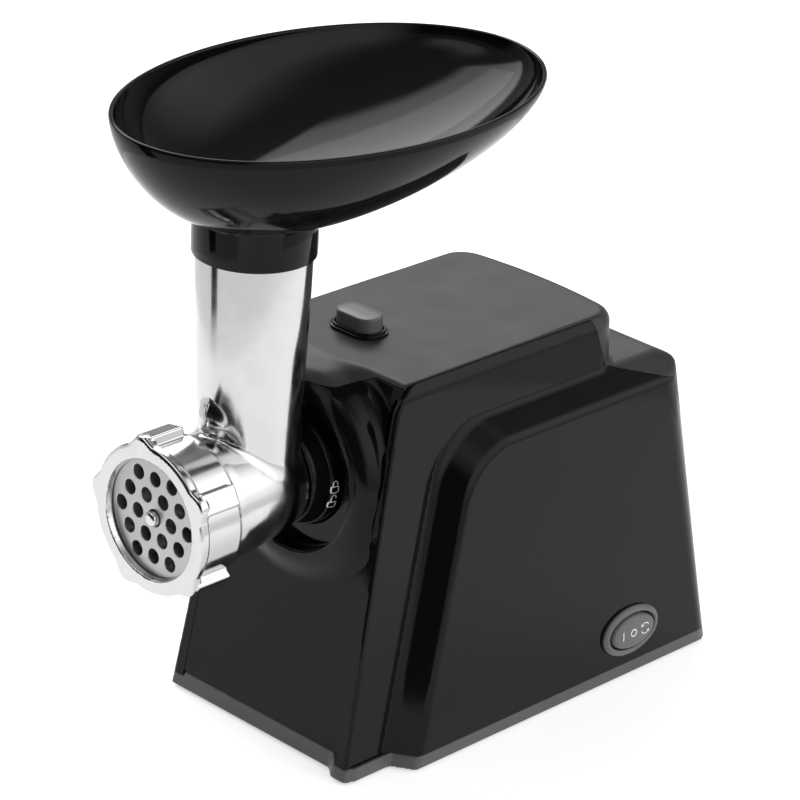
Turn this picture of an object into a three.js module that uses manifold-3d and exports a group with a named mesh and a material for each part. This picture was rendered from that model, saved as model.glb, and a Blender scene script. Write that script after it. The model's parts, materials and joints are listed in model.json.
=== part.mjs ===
// Electric meat grinder, size 8 head. Millimetres, +Z up, -Y is the front (the cutting plate faces it),
// +X is the side with the switch. The origin is on the table under the middle of the whole object.
import * as THREE from "three";
import { ConvexGeometry } from "three/addons/geometries/ConvexGeometry.js";
import { mergeVertices } from "three/addons/utils/BufferGeometryUtils.js";
import Module from "manifold-3d";

// ---------- driving dimensions ----------
const FACE_Y = -158; // front face of the cutting plate
const AXIS_Z = 143.6; // height of the barrel's axis
const GAP = 0.3; // clearance between touching pieces
const WALL = 2.5; // wall of the plastic shells

// housing: widths are half widths, depths are measured behind the plate's face
const SKIRT_Z = 1.5; // lower edge of the housing
const SEAM_Z = 8.6; // top of the base tray at the sides
const FRONT_SEAM_Z = 11; // top of the base tray at the front
const TOP_Z = 199.6; // top of the cover
const LEDGE_Z = 171; // ledge behind the raised block
const DRAFT = 0.047; // the cheeks lean in by this much per millimetre of height
const FRAME_HALF = 66; // cheek, at the foot
const PANEL_HALF = 80.4; // raised outer panel of the cheek, at the foot
const FRONT_FOOT = 76; // front panel at the foot, behind the plate's face
const FRONT_TOP = 111; // front panel at the top
const CHEEK_LIP = 5.5; // how far the right cheek stands in front of the front panel
const REAR = 329; // rear wall at the foot

// socket of the head
const RECESS_R = 42.5;
const RECESS_FRONT = 87.3;
const RECESS_BACK = 96;
const COLLAR_R = 30;
const PLUG_R = 24;

// head
const PLATE_R = 31;
const PLATE_THICK = 5;
const PLATE_HOLE_R = 3.75;
const PLATE_PITCH = 11.7;
const NUT_R = 36.6;
const NUT_LENGTH = 26;
const NUT_OPENING_R = 29.6;
const LUG_COUNT = 5;
const LUG_FIRST_DEG = 29;
const BARREL_R = 33.4;
const BORE_R = 27;
const TUBE_BACK = 60; // axis of the feed tube behind the plate's face
const TUBE_TOP_Z = 270;
const TUBE_BORE_R = 22;
const AUGER_R = 26;
const KNIFE_R = 25;

// tray
const SPIGOT_Z = 265.6;
const SPIGOT_R = 30.3;
const RIM_Z = 336.3;
const RIM_BACK = 107.5; // middle of the rim behind the plate's face
const RIM_HALF_LENGTH = 121.4;
const RIM_HALF_WIDTH = 81.1;
const TRAY_WALL = 2.4;

// drive
const MODULE_1 = 1.25;
const MODULE_2 = 1.4;
const MODULE_3 = 1.9;
const PINION_TEETH = 8;
const TEETH_1 = 40;
const TEETH_2 = 36;
const TEETH_3 = 30;
const PIN_R = 3;
const SHAFT_R = 6;
const MOTOR_SHAFT_R = 4;

const STATOR = { height: 68, width: 76, back: 206, length: 42 };
const PLANE_3 = [128, 141]; // output gear, behind the plate's face
const PLANE_2 = [145, 154]; // second gear
const PLANE_1 = [159, 168]; // first gear and motor pinion
const GEARBOX = { front: 122, rear: 171.5, wall: 2.4 };
const GEARBOX_ROUNDS = { output: 32, second: 29, first: 28.5, motor: 10 }; // inside, round each gear
const GEARBOX_SCREWS = [[34.5, 141], [-41, 137], [-32.5, 80]]; // x, z
const GEARBOX_ROOF_Z = AXIS_Z + GEARBOX_ROUNDS.output + GEARBOX.wall + 0.4;

// controls
const BUTTON = { x: -10, back: 143, length: 26, width: 15, top: 209.6, bottom: 194.5, cornerR: 7 };
const SWITCH = { back: 262, z: 27.6, length: 42, width: 27 };
const LATCH_Z = [178.3, 181.3]; // the latch's bar, above the gearbox

// base and fastenings
const INLET = { x: -38, z: 30, r: 7.8 }; // cord inlet in the rear wall
const FLOOR_Z = 4; // underside of the base
const FEET = [[50, 92], [60, 302]]; // half spacing, distance back
const POSTS = [[60, 118], [66, 288]]; // screw posts of each cheek, in the same terms
const POST_TOP_Z = 30;
const SCREW_R = 1.6;
const HEAD_R = 3.2; // screw heads
const EAVE_Z = 193; // top of the front panel, under the cover's edge
const ALL = 120; // half width that takes in the whole housing
const NEAR = 40; // distance back that lies in front of the whole housing
const FAR = REAR + 40; // and one behind it

// numbers of facets round a turned piece
const LARGE = 26;
const MEDIUM = 16;
const SMALL = 8;

// ---------- materials ----------
const finish = (color, roughness, metalness = 0) =>
  new THREE.MeshStandardMaterial({ color, roughness, metalness });
const GLOSS_BLACK = finish(0x0b0a0d, 0.12);
const SATIN_BLACK = finish(0x2a2a2d, 0.42);
const BASE_GREY = finish(0x3c3c40, 0.5);
const CONTROL_GREY = finish(0x5b5b5f, 0.45);
const RUBBER = finish(0x141414, 0.85);
const CAST_ALUMINIUM = finish(0xd5d4d6, 0.16, 1);
const STEEL = finish(0x9a9a9c, 0.35, 1);
const BRASS = finish(0xb08d4a, 0.35, 1);
const COPPER = finish(0x9a4f28, 0.4, 1);
const NYLON = finish(0xd8d4c6, 0.55);
const CARBON = finish(0x1c1c1c, 0.7);

// ---------- helpers ----------
const wasm = await Module();
wasm.setup();

const back = (distance) => FACE_Y + distance;
const radians = THREE.MathUtils.degToRad;
const v2 = (x, y) => new THREE.Vector2(x, y);
const v3 = (x, y, z) => new THREE.Vector3(x, y, z);

// A closed geometry as a solid; faces that have shrunk to a line or a point are dropped.
function solid(geometry) {
  const bare = new THREE.BufferGeometry();
  bare.setAttribute("position", geometry.getAttribute("position"));
  if (geometry.index) bare.setIndex(geometry.index);
  const merged = mergeVertices(bare, 1e-4);
  const corners = merged.index.array;
  const kept = [];
  for (let i = 0; i < corners.length; i += 3) {
    const [a, b, c] = corners.subarray(i, i + 3);
    if (a !== b && b !== c && c !== a) kept.push(a, b, c);
  }
  const build = (triangles) => {
    const triVerts = new Uint32Array(triangles);
    const vertProperties = merged.attributes.position.array;
    return new wasm.Manifold(new wasm.Mesh({ numProp: 3, vertProperties, triVerts }));
  };
  const made = build(kept);
  return made.volume() > 0 ? made : build(kept.reverse());
}

const join = (first, ...others) => others.reduce((sum, part) => sum.add(part), first);
const cut = (first, ...others) => others.reduce((rest, part) => rest.subtract(part), first);

const ALONG_X = new THREE.Matrix4().makeBasis(v3(0, 1, 0), v3(0, 0, 1), v3(1, 0, 0));
const ALONG_Y = new THREE.Matrix4().makeBasis(v3(1, 0, 0), v3(0, 0, 1), v3(0, -1, 0));

// Outlines in X,Z pushed from one Y to another, in Y,Z pushed along X, and in X,Y pushed up Z.
function extrude(shape, depth, curveSegments = 6) {
  return new THREE.ExtrudeGeometry(shape, { depth, bevelEnabled: false, curveSegments });
}
function pushY(shape, from, to, segments) {
  return solid(extrude(shape, to - from, segments).applyMatrix4(ALONG_Y).translate(0, to, 0));
}
function pushX(shape, from, to, segments) {
  return solid(extrude(shape, to - from, segments).applyMatrix4(ALONG_X).translate(from, 0, 0));
}
function pushZ(shape, from, to, segments) {
  return solid(extrude(shape, to - from, segments).translate(0, 0, from));
}

function box(x0, x1, y0, y1, z0, z1) {
  const geometry = new THREE.BoxGeometry(x1 - x0, y1 - y0, z1 - z0);
  return solid(geometry.translate((x0 + x1) / 2, (y0 + y1) / 2, (z0 + z1) / 2));
}

// Round solids about an axis along Y or Z: a profile is a list of [radius, place along the axis].
function turnY(profile, x, z, segments = MEDIUM) {
  const points = profile.map(([r, y]) => v2(r, y));
  return solid(new THREE.LatheGeometry(points, segments).translate(x, 0, z));
}
function turnZ(profile, x, y, segments = MEDIUM) {
  const points = profile.map(([r, z]) => v2(r, z));
  const geometry = new THREE.LatheGeometry(points, segments).rotateX(Math.PI / 2);
  return solid(geometry.translate(x, y, 0));
}
const rodProfile = (r, from, to) => [[0, from], [r, from], [r, to], [0, to]];
const ringProfile = (inner, outer, from, to) => {
  return [[inner, from], [outer, from], [outer, to], [inner, to], [inner, from]];
};
const rodY = (r, from, to, x, z, n) => turnY(rodProfile(r, from, to), x, z, n);
const rodZ = (r, from, to, x, y, n) => turnZ(rodProfile(r, from, to), x, y, n);
const ringY = (r0, r1, from, to, x, z, n) => turnY(ringProfile(r0, r1, from, to), x, z, n);
const ringZ = (r0, r1, from, to, x, y, n) => turnZ(ringProfile(r0, r1, from, to), x, y, n);

const hull = (points) => solid(new ConvexGeometry(points.map(([x, y, z]) => v3(x, y, z))));

function ellipse(halfX, halfY) {
  return new THREE.Shape().absellipse(0, 0, halfX, halfY, 0, Math.PI * 2, false, 0);
}
function polygon(points) {
  return new THREE.Shape(points.map(([x, y]) => v2(x, y)));
}
function circleAt(x, y, r) {
  return new THREE.Shape().absarc(x, y, r, 0, Math.PI * 2, false);
}
// A rectangle with round corners, centred on x, y.
function roundedRectangle(x, y, width, height, r) {
  const [w, h] = [width / 2 - r, height / 2 - r];
  const shape = new THREE.Shape();
  shape.absarc(x + w, y + h, r, 0, Math.PI / 2, false);
  shape.absarc(x - w, y + h, r, Math.PI / 2, Math.PI, false);
  shape.absarc(x - w, y - h, r, Math.PI, 1.5 * Math.PI, false);
  shape.absarc(x + w, y - h, r, 1.5 * Math.PI, 2 * Math.PI, false);
  return shape;
}

const model = new THREE.Group();

// Adds a solid as a named mesh, in the whole object's frame or in the frame of a group.
function piece(name, made, material, parent = model) {
  const { numProp, numVert, vertProperties, triVerts } = made.getMesh();
  const positions = new Float32Array(numVert * 3);
  for (let i = 0; i < numVert; i++) {
    positions.set(vertProperties.subarray(i * numProp, i * numProp + 3), i * 3);
  }
  const geometry = new THREE.BufferGeometry();
  geometry.setAttribute("position", new THREE.BufferAttribute(positions, 3));
  geometry.setIndex(new THREE.BufferAttribute(triVerts, 1));
  geometry.computeVertexNormals();
  const mesh = new THREE.Mesh(geometry, material);
  mesh.name = name;
  parent.add(mesh);
  return mesh;
}

// ---------- housing ----------
const lean = (half, z) => half - DRAFT * (z - SEAM_Z);
const frontAt = (z) => {
  const share = (z - FRONT_SEAM_Z) / (TOP_Z - FRONT_SEAM_Z);
  return FRONT_FOOT + (FRONT_TOP - FRONT_FOOT) * share;
};
const bothSides = (points) => points.flatMap(([x, y, z]) => [[x, back(y), z], [-x, back(y), z]]);

// The raised block that holds the socket, the gears and the button, taken in by t all round.
function raisedBlock(t, floor) {
  const roof = TOP_Z - t;
  const eave = TOP_Z - 5 - t * 0.4; // lower edge of the chamfer along the top
  const rear = 267 - t;
  return hull(bothSides([
    [lean(FRAME_HALF, floor) - t, frontAt(floor) + t, floor],
    [lean(FRAME_HALF, eave) - t, frontAt(eave) + t, eave],
    [53.6 - t * 0.6, FRONT_TOP + 1.5 + t, roof],
    [53.6 - t * 0.6, rear - 31, roof],
    [49 - t * 0.7, rear - 17, roof],
    [38 - t * 0.5, rear - 9, roof],
    [0, rear - 6, roof],
    [lean(FRAME_HALF, eave) - t, rear - 27, eave - 2],
    [52 - t, rear - 13, eave - 2],
    [38 - t * 0.5, rear - 4, eave - 2],
    [0, rear, eave - 2],
    [lean(FRAME_HALF, floor) - t, rear - 25, floor],
    [0, rear + 3, floor],
  ]));
}

// The wide lower body with the raised panels of the cheeks and the rounded rear corners.
function wideBody(t, floor) {
  const panel = (z) => lean(PANEL_HALF, z) - t;
  const frame = (z) => lean(FRAME_HALF, z) - t;
  const crown = LEDGE_Z - t;
  return hull(bothSides([
    [panel(floor), 106 + t, floor],
    [panel(152), 141 + t, 152],
    [panel(158), 146 + t, 158 - t * 0.5],
    [panel(161), 160 + t, 161.5 - t],
    [panel(161), 278 - t, 161.5 - t],
    [panel(157), 288 - t, 157 - t],
    [frame(floor), 97 + t, floor],
    [frame(155), 132 + t, 155],
    [frame(166), 140 + t, 167 - t * 0.5],
    [frame(LEDGE_Z), 165 + t, crown],
    [frame(LEDGE_Z), 272 - t, crown],
    [46 - t * 0.5, 293 - t, crown],
    [0, 296 - t, crown],
    [64 - t, 301 - t, 158 - t],
    [48 - t * 0.5, 305 - t, 158 - t],
    [0, 307 - t, 158 - t],
    [panel(floor), REAR - 27 - t, floor],
    [panel(floor) - 4, REAR - 11 - t, floor],
    [panel(floor) - 14, REAR - 3 - t, floor],
    [0, REAR - t, floor],
  ]));
}

// The lip of the right cheek, which stands a little in front of the front panel.
function cheekLip(floor) {
  const lipAt = (z) => frontAt(z) - CHEEK_LIP;
  const eave = 186;
  return hull([
    [58, back(lipAt(floor)), floor],
    [lean(FRAME_HALF, floor) - 2, back(lipAt(floor) + 1), floor],
    [lean(FRAME_HALF, floor), back(lipAt(floor) + 4), floor],
    [53.5, back(lipAt(eave)), eave],
    [lean(FRAME_HALF, eave) - 1.5, back(lipAt(eave) + 1), eave],
    [lean(FRAME_HALF, eave), back(lipAt(eave) + 3), eave],
    [53.5, back(FRONT_TOP), eave + 9],
    [lean(FRAME_HALF, eave), back(FRONT_TOP + 8), eave + 9],
    [58, back(frontAt(floor) + 12), floor],
    [lean(FRAME_HALF, floor), back(frontAt(floor) + 12), floor],
    [53.5, back(FRONT_TOP + 8), eave + 9],
  ]);
}

// The boss round the socket swells forward from the front panel, under the edge of the top.
function socketBoss(t) {
  const swell = turnY([[0, back(RECESS_FRONT + t)], [45.5 - t, back(RECESS_FRONT + t)],
    [56 - t, back(106)], [56 - t, back(118)], [0, back(118)]], 0, AXIS_Z, LARGE);
  return swell.intersect(box(-70, 70, back(60), back(200), 0, AXIS_Z + 53 - t));
}

// What each side panel takes: everything outside a leaning plane, short of the rear seam.
function cheekZone(side, grow) {
  const seam = polygon([
    [back(60), SEAM_Z - grow], [back(REAR - 19 + grow), SEAM_Z - grow],
    [back(290 + grow), 157 + grow], [back(252), 173 + grow],
    [back(247 + grow), 187], [back(241 + grow), TOP_Z + 5], [back(60), TOP_Z + 5],
  ]);
  const slab = pushX(seam, 40, 90);
  const edge = polygon([
    [59 - grow, SEAM_Z - 20], [53.8 - grow, TOP_Z - grow], [53.8 - grow, TOP_Z + 20],
    [95, TOP_Z + 20], [95, SEAM_Z - 20],
  ]);
  const zone = slab.intersect(pushY(edge, back(50), back(REAR + 20)));
  return side > 0 ? zone : zone.mirror([1, 0, 0]);
}

// What the front panel takes: a layer behind the leaning front face, under the top's edge.
function frontZone(grow) {
  const layer = polygon([
    [back(50), FRONT_SEAM_Z - grow], [back(FRONT_FOOT + 9 + grow), FRONT_SEAM_Z - grow],
    [back(FRONT_TOP + 9 + grow), EAVE_Z + grow], [back(50), EAVE_Z + grow],
  ]);
  return pushX(layer, -59, 59);
}

function buttonOutline(clearance) {
  const r = BUTTON.cornerR + clearance;
  const [length, width] = [BUTTON.length + 2 * clearance, BUTTON.width + 2 * clearance];
  return roundedRectangle(BUTTON.x, back(BUTTON.back), length, width, r);
}

// The switch's own frame: its long way is along Y, its axis up the leaning panel, and z out of it.
const panelUp = v3(-DRAFT, 0, 1).normalize();
const panelOut = v3(1, 0, DRAFT).normalize();
const switchFrame = new THREE.Group();
switchFrame.applyMatrix4(new THREE.Matrix4().makeBasis(v3(0, 1, 0), panelUp, panelOut));
switchFrame.position.set(lean(PANEL_HALF, SWITCH.z), back(SWITCH.back), SWITCH.z);
switchFrame.updateMatrixWorld(true);

function screwPosts(side) {
  return POSTS.map(([x, y]) => {
    const [inner, outer] = side > 0 ? [x - 5, x + 14] : [-x - 14, -x + 5];
    const post = box(inner, outer, back(y - 5), back(y + 5), SEAM_Z + GAP, POST_TOP_Z);
    return cut(post, rodZ(SCREW_R + 0.2, SEAM_Z - 1, POST_TOP_Z - 6, side * x, back(y), SMALL));
  });
}

function housing() {
  const block = raisedBlock(0, SKIRT_Z);
  const body = join(block, wideBody(0, SKIRT_Z), cheekLip(SKIRT_Z));
  const cavity = join(raisedBlock(WALL, 0), wideBody(WALL, 0));
  const upper = box(-ALL, ALL, back(NEAR), back(FAR), SEAM_Z + GAP, 260);
  const foot = box(-58, 58, back(NEAR), back(FRONT_FOOT + 10), 0, FRONT_SEAM_Z);
  const footRoom = box(-58 - GAP, 58 + GAP, back(NEAR), back(FRONT_FOOT + 10 + GAP),
    0, FRONT_SEAM_Z + GAP);
  const shell = cut(body, cavity).intersect(upper);

  const window = ellipse(18.9, 11.2);
  const switchHole = solid(extrude(window, 30, 13).translate(0, 0, -15)
    .applyMatrix4(switchFrame.matrixWorld));
  const bored = (shape) => cut(shape, rodY(RECESS_R, back(60), back(RECESS_BACK), 0, AXIS_Z, LARGE));

  for (const [side, name] of [[1, "side_panel_right"], [-1, "side_panel_left"]]) {
    const skin = cut(bored(shell.intersect(cheekZone(side, 0))), footRoom);
    const posts = screwPosts(side).map((post) => post.intersect(body));
    const panel = join(skin, ...posts);
    piece(name, side > 0 ? cut(panel, switchHole) : panel, GLOSS_BLACK);
  }

  const cheeks = join(cheekZone(1, GAP), cheekZone(-1, GAP));
  const frontSkin = cut(shell.intersect(frontZone(0)), cheeks, footRoom);
  const bossSkin = cut(socketBoss(0), socketBoss(WALL), cheeks)
    .intersect(box(-70, 70, back(60), back(110), 0, EAVE_Z));
  // A cup round the socket, its floor, and the tube behind it that guides the head's plug.
  const [cupR, tubeR, floorBack] = [RECESS_R + 2.5, PLUG_R + 4, RECESS_BACK + 7];
  const cup = turnY([
    [RECESS_R, back(86)], [cupR, back(86)], [cupR, back(floorBack)], [tubeR, back(floorBack)],
    [tubeR, back(107)], [PLUG_R + 1, back(107)], [PLUG_R + 1, back(RECESS_BACK)],
    [tubeR, back(RECESS_BACK)], [tubeR, back(RECESS_BACK + 4)], [tubeR + 1.6, back(RECESS_BACK + 4)],
    [tubeR + 1.6, back(RECESS_BACK)], [RECESS_R, back(RECESS_BACK)], [RECESS_R, back(86)],
  ], 0, AXIS_Z, LARGE);
  const skin = cut(join(frontSkin, bossSkin), rodY(cupR - 0.1, back(60), back(130), 0, AXIS_Z, LARGE));
  const lockBoss = hull([[32, 17], [33, 34], [47, 31], [45, 15]].flatMap(([x, z]) =>
    [[x, back(RECESS_FRONT + 3), AXIS_Z + z], [x * 0.97, back(RECESS_BACK + 1), AXIS_Z + z]]));
  piece("front_panel", join(skin, cup, lockBoss), GLOSS_BLACK);

  const belowEave = box(-90, 90, back(NEAR), back(200), 0, 185);
  const bossRoom = box(-60, 60, back(60), back(112), 150, EAVE_Z + GAP);
  const cover = cut(shell, cheeks, frontZone(GAP), belowEave, bossRoom,
    pushZ(buttonOutline(0.8), TOP_Z - 20, TOP_Z + 20),
    rodY(INLET.r + GAP, back(REAR - 40), back(REAR + 10), INLET.x, INLET.z, 14));
  piece("top_rear_cover", cover, SATIN_BLACK);

  baseTray(body, cavity, foot);
}

// ---------- base ----------
function baseTray(body, cavity, frontFoot) {
  const strip = box(-ALL, ALL, back(NEAR), back(FAR), 0, SEAM_Z);
  const edge = body.intersect(join(strip, frontFoot));
  const inside = cavity.intersect(box(-ALL, ALL, back(NEAR), back(FAR), FLOOR_Z + WALL, 40));
  const under = cavity.intersect(box(-ALL, ALL, back(NEAR), back(FAR), 0, FLOOR_Z));
  let tray = cut(edge, inside, under);
  const cradle = [[214, 222], [238, 246]].map(([from, to]) =>
    box(-26, 26, back(from), back(to), FLOOR_Z + 1, MOTOR.z - STATOR.height / 2 - GAP));
  const pedestal = [[-34, -28], [22, 28]].map(([from, to]) =>
    box(from, to, back(130), back(168), FLOOR_Z + 1, 70));
  tray = join(tray, ...cradle, ...pedestal);
  tray = cut(tray, gearboxOutline(GAP, 0, 400));
  for (const side of [1, -1]) {
    for (const [x, y] of POSTS) {
      tray = cut(tray, rodZ(SCREW_R + 0.3, 0, SEAM_Z, side * x, back(y), SMALL));
    }
  }
  piece("base_tray", tray, BASE_GREY);

  let number = 1;
  for (const side of [1, -1]) {
    for (const [x, y] of FEET) {
      const foot = [[0, 0], [8, 0], [9.5, 1.2], [9.5, FLOOR_Z - GAP], [0, FLOOR_Z - GAP]];
      piece("foot_" + number, turnZ(foot, side * x, back(y)), RUBBER);
      number += 1;
    }
  }
  number = 1;
  for (const side of [1, -1]) {
    for (const [x, y] of POSTS) {
      const screw = [[0, 1.6], [HEAD_R, 1.6], [HEAD_R, FLOOR_Z - GAP], [SCREW_R, FLOOR_Z - GAP],
        [SCREW_R, POST_TOP_Z - 8], [0, POST_TOP_Z - 7]];
      piece("base_screw_" + number, turnZ(screw, side * x, back(y), SMALL), STEEL);
      number += 1;
    }
  }
}

// ---------- gears and gearbox ----------
const pitchR = (module, teeth) => (module * teeth) / 2;
const OUTPUT = { x: 0, z: AXIS_Z };
const away = (from, distance, degrees) => ({
  x: from.x + distance * Math.cos(radians(degrees)),
  z: from.z + distance * Math.sin(radians(degrees)),
});
const centres = (module, teeth) => pitchR(module, PINION_TEETH) + pitchR(module, teeth);
const SECOND = away(OUTPUT, centres(MODULE_3, TEETH_3), -123.4);
const FIRST = away(SECOND, centres(MODULE_2, TEETH_2), -12);
const MOTOR = away(FIRST, centres(MODULE_1, TEETH_1), -110);

// Straight-sided teeth with backlash: the outline of a spur gear about x, y.
function gearShape(module, teeth, phase, x, y) {
  const r = pitchR(module, teeth);
  const [tip, root] = [r + 0.85 * module, r - 1.15 * module];
  const quarter = Math.PI / 2 / teeth;
  const [tipHalf, rootHalf] = [quarter * 0.45, quarter * 1.35];
  const points = [];
  for (let i = 0; i < teeth; i++) {
    const middle = phase + (2 * Math.PI * i) / teeth;
    const corners = [[root, -rootHalf], [tip, -tipHalf], [tip, tipHalf], [root, rootHalf]];
    for (const [radius, turn] of corners) {
      points.push([x + radius * Math.cos(middle + turn), y + radius * Math.sin(middle + turn)]);
    }
  }
  return polygon(points);
}

const bearing = (from, to) => Math.atan2(to.z - from.z, to.x - from.x);
// Phase that puts a gap of the driven gear on the driver's tooth, on the line of centres.
const meshPhase = (driver, driven, teeth) => bearing(driver, driven) + Math.PI + Math.PI / teeth;

function gearAt(module, teeth, phase, centre, [from, to]) {
  return pushY(gearShape(module, teeth, phase, centre.x, centre.z), back(from), back(to));
}

function gearboxOutline(grow, from, to) {
  const { output, second, first, motor: motorRound } = GEARBOX_ROUNDS;
  const rounds = [[OUTPUT, output], [SECOND, second], [FIRST, first], [MOTOR, motorRound]];
  const points = rounds.flatMap(([centre, r]) =>
    Array.from({ length: MEDIUM }, (_, i) => {
      const turn = (2 * Math.PI * i) / MEDIUM;
      const reach = r + GEARBOX.wall + grow;
      return [centre.x + reach * Math.cos(turn), centre.z + reach * Math.sin(turn)];
    }));
  return hull(points.flatMap(([x, z]) => [[x, back(from), z], [x, back(to), z]]));
}

function gears() {
  const { front, rear, wall } = GEARBOX;
  const first = join(
    gearAt(MODULE_1, TEETH_1, meshPhase(MOTOR, FIRST, TEETH_1), FIRST, PLANE_1),
    gearAt(MODULE_2, PINION_TEETH, bearing(FIRST, SECOND), FIRST, [PLANE_2[0] - 0.5, PLANE_1[0] + 1]),
  );
  const second = join(
    gearAt(MODULE_2, TEETH_2, meshPhase(FIRST, SECOND, TEETH_2), SECOND, PLANE_2),
    gearAt(MODULE_3, PINION_TEETH, bearing(SECOND, OUTPUT), SECOND, [PLANE_3[0] - 0.5, PLANE_2[0] + 1]),
  );
  const hole = (centre) => rodY(PIN_R + 0.3, back(front), back(rear + 5), centre.x, centre.z, SMALL);
  piece("first_gear", cut(first, hole(FIRST)), NYLON);
  piece("second_gear", cut(second, hole(SECOND)), STEEL);
  const output = gearAt(MODULE_3, TEETH_3, meshPhase(SECOND, OUTPUT, TEETH_3), OUTPUT, PLANE_3);
  piece("output_gear", cut(output, rodY(SHAFT_R + GAP, back(front), back(rear), 0, AXIS_Z)), STEEL);
  const pinion = gearAt(MODULE_1, PINION_TEETH, bearing(MOTOR, FIRST), MOTOR, PLANE_1);
  const pinionBore = rodY(MOTOR_SHAFT_R * 0.75 + 0.3, back(150), back(180), MOTOR.x, MOTOR.z, SMALL);
  piece("motor_pinion", cut(pinion, pinionBore), STEEL);

  for (const [name, centre] of [["first_gear_pin", FIRST], ["second_gear_pin", SECOND]]) {
    const pin = rodY(PIN_R, back(front + wall + GAP), back(rear - GAP), centre.x, centre.z, SMALL);
    piece(name, pin, STEEL);
  }

  const room = gearboxOutline(-wall, front + wall, rear + 5);
  const shell = cut(gearboxOutline(0, front, rear), room,
    rodY(SHAFT_R + 3.3, back(front - 5), back(front + 8), 0, AXIS_Z));
  const eyes = GEARBOX_SCREWS.map(([x, z]) => rodY(4.5, back(front), back(rear), x, z, SMALL));
  const eyeHoles = GEARBOX_SCREWS.map(([x, z]) => rodY(1.8, back(front + 12), back(rear + 5), x, z, SMALL));
  piece("gearbox_housing", cut(join(shell, ...eyes.map((eye) => cut(eye, room))), ...eyeHoles), NYLON);

  const lid = join(gearboxOutline(0, rear + GAP, rear + 4),
    ...GEARBOX_SCREWS.map(([x, z]) => rodY(4.5, back(rear + GAP), back(rear + 4), x, z, SMALL)));
  piece("gearbox_cover", cut(lid, rodY(9, back(rear), back(rear + 10), MOTOR.x, MOTOR.z),
    ...eyeHoles), NYLON);
  GEARBOX_SCREWS.forEach(([x, z], i) => {
    const screw = [[0, back(front + 14)], [SCREW_R, back(front + 14)], [SCREW_R, back(rear + 4.3)],
      [HEAD_R, back(rear + 4.3)], [HEAD_R, back(rear + 6.3)], [0, back(rear + 6.3)]];
    piece("gearbox_screw_" + (i + 1), turnY(screw, x, z, SMALL), STEEL);
  });

  const bush = ringY(SHAFT_R + GAP, SHAFT_R + 3, back(front - 2), back(front + 4.5), 0, AXIS_Z);
  piece("output_bush", bush, BRASS);
  const hexagon = new THREE.Shape(Array.from({ length: 6 }, (_, i) =>
    v2(5 * Math.cos(radians(60 * i)), AXIS_Z + 5 * Math.sin(radians(60 * i)))));
  const shaft = join(rodY(SHAFT_R, back(112), back(143), 0, AXIS_Z),
    pushY(hexagon, back(93), back(114)));
  piece("drive_shaft", shaft, STEEL);
}

// ---------- motor ----------
// The opening through the stator: the bore between the poles, and the slots for the coils beside them.
function statorWindow(x, z) {
  const { width, height } = STATOR;
  const window = new THREE.Shape();
  const [poleHalf, yokeX, yokeZ, bore] = [16, width / 2 - 8, height / 2 - 8, 21];
  const reach = Math.acos(poleHalf / bore);
  window.moveTo(x + yokeX, z - yokeZ);
  window.lineTo(x + yokeX, z + yokeZ);
  window.lineTo(x + poleHalf, z + yokeZ);
  window.absarc(x, z, bore, reach, Math.PI - reach, false);
  window.lineTo(x - poleHalf, z + yokeZ);
  window.lineTo(x - yokeX, z + yokeZ);
  window.lineTo(x - yokeX, z - yokeZ);
  window.lineTo(x - poleHalf, z - yokeZ);
  window.absarc(x, z, bore, Math.PI + reach, 2 * Math.PI - reach, false);
  window.lineTo(x + poleHalf, z - yokeZ);
  return window;
}

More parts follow.
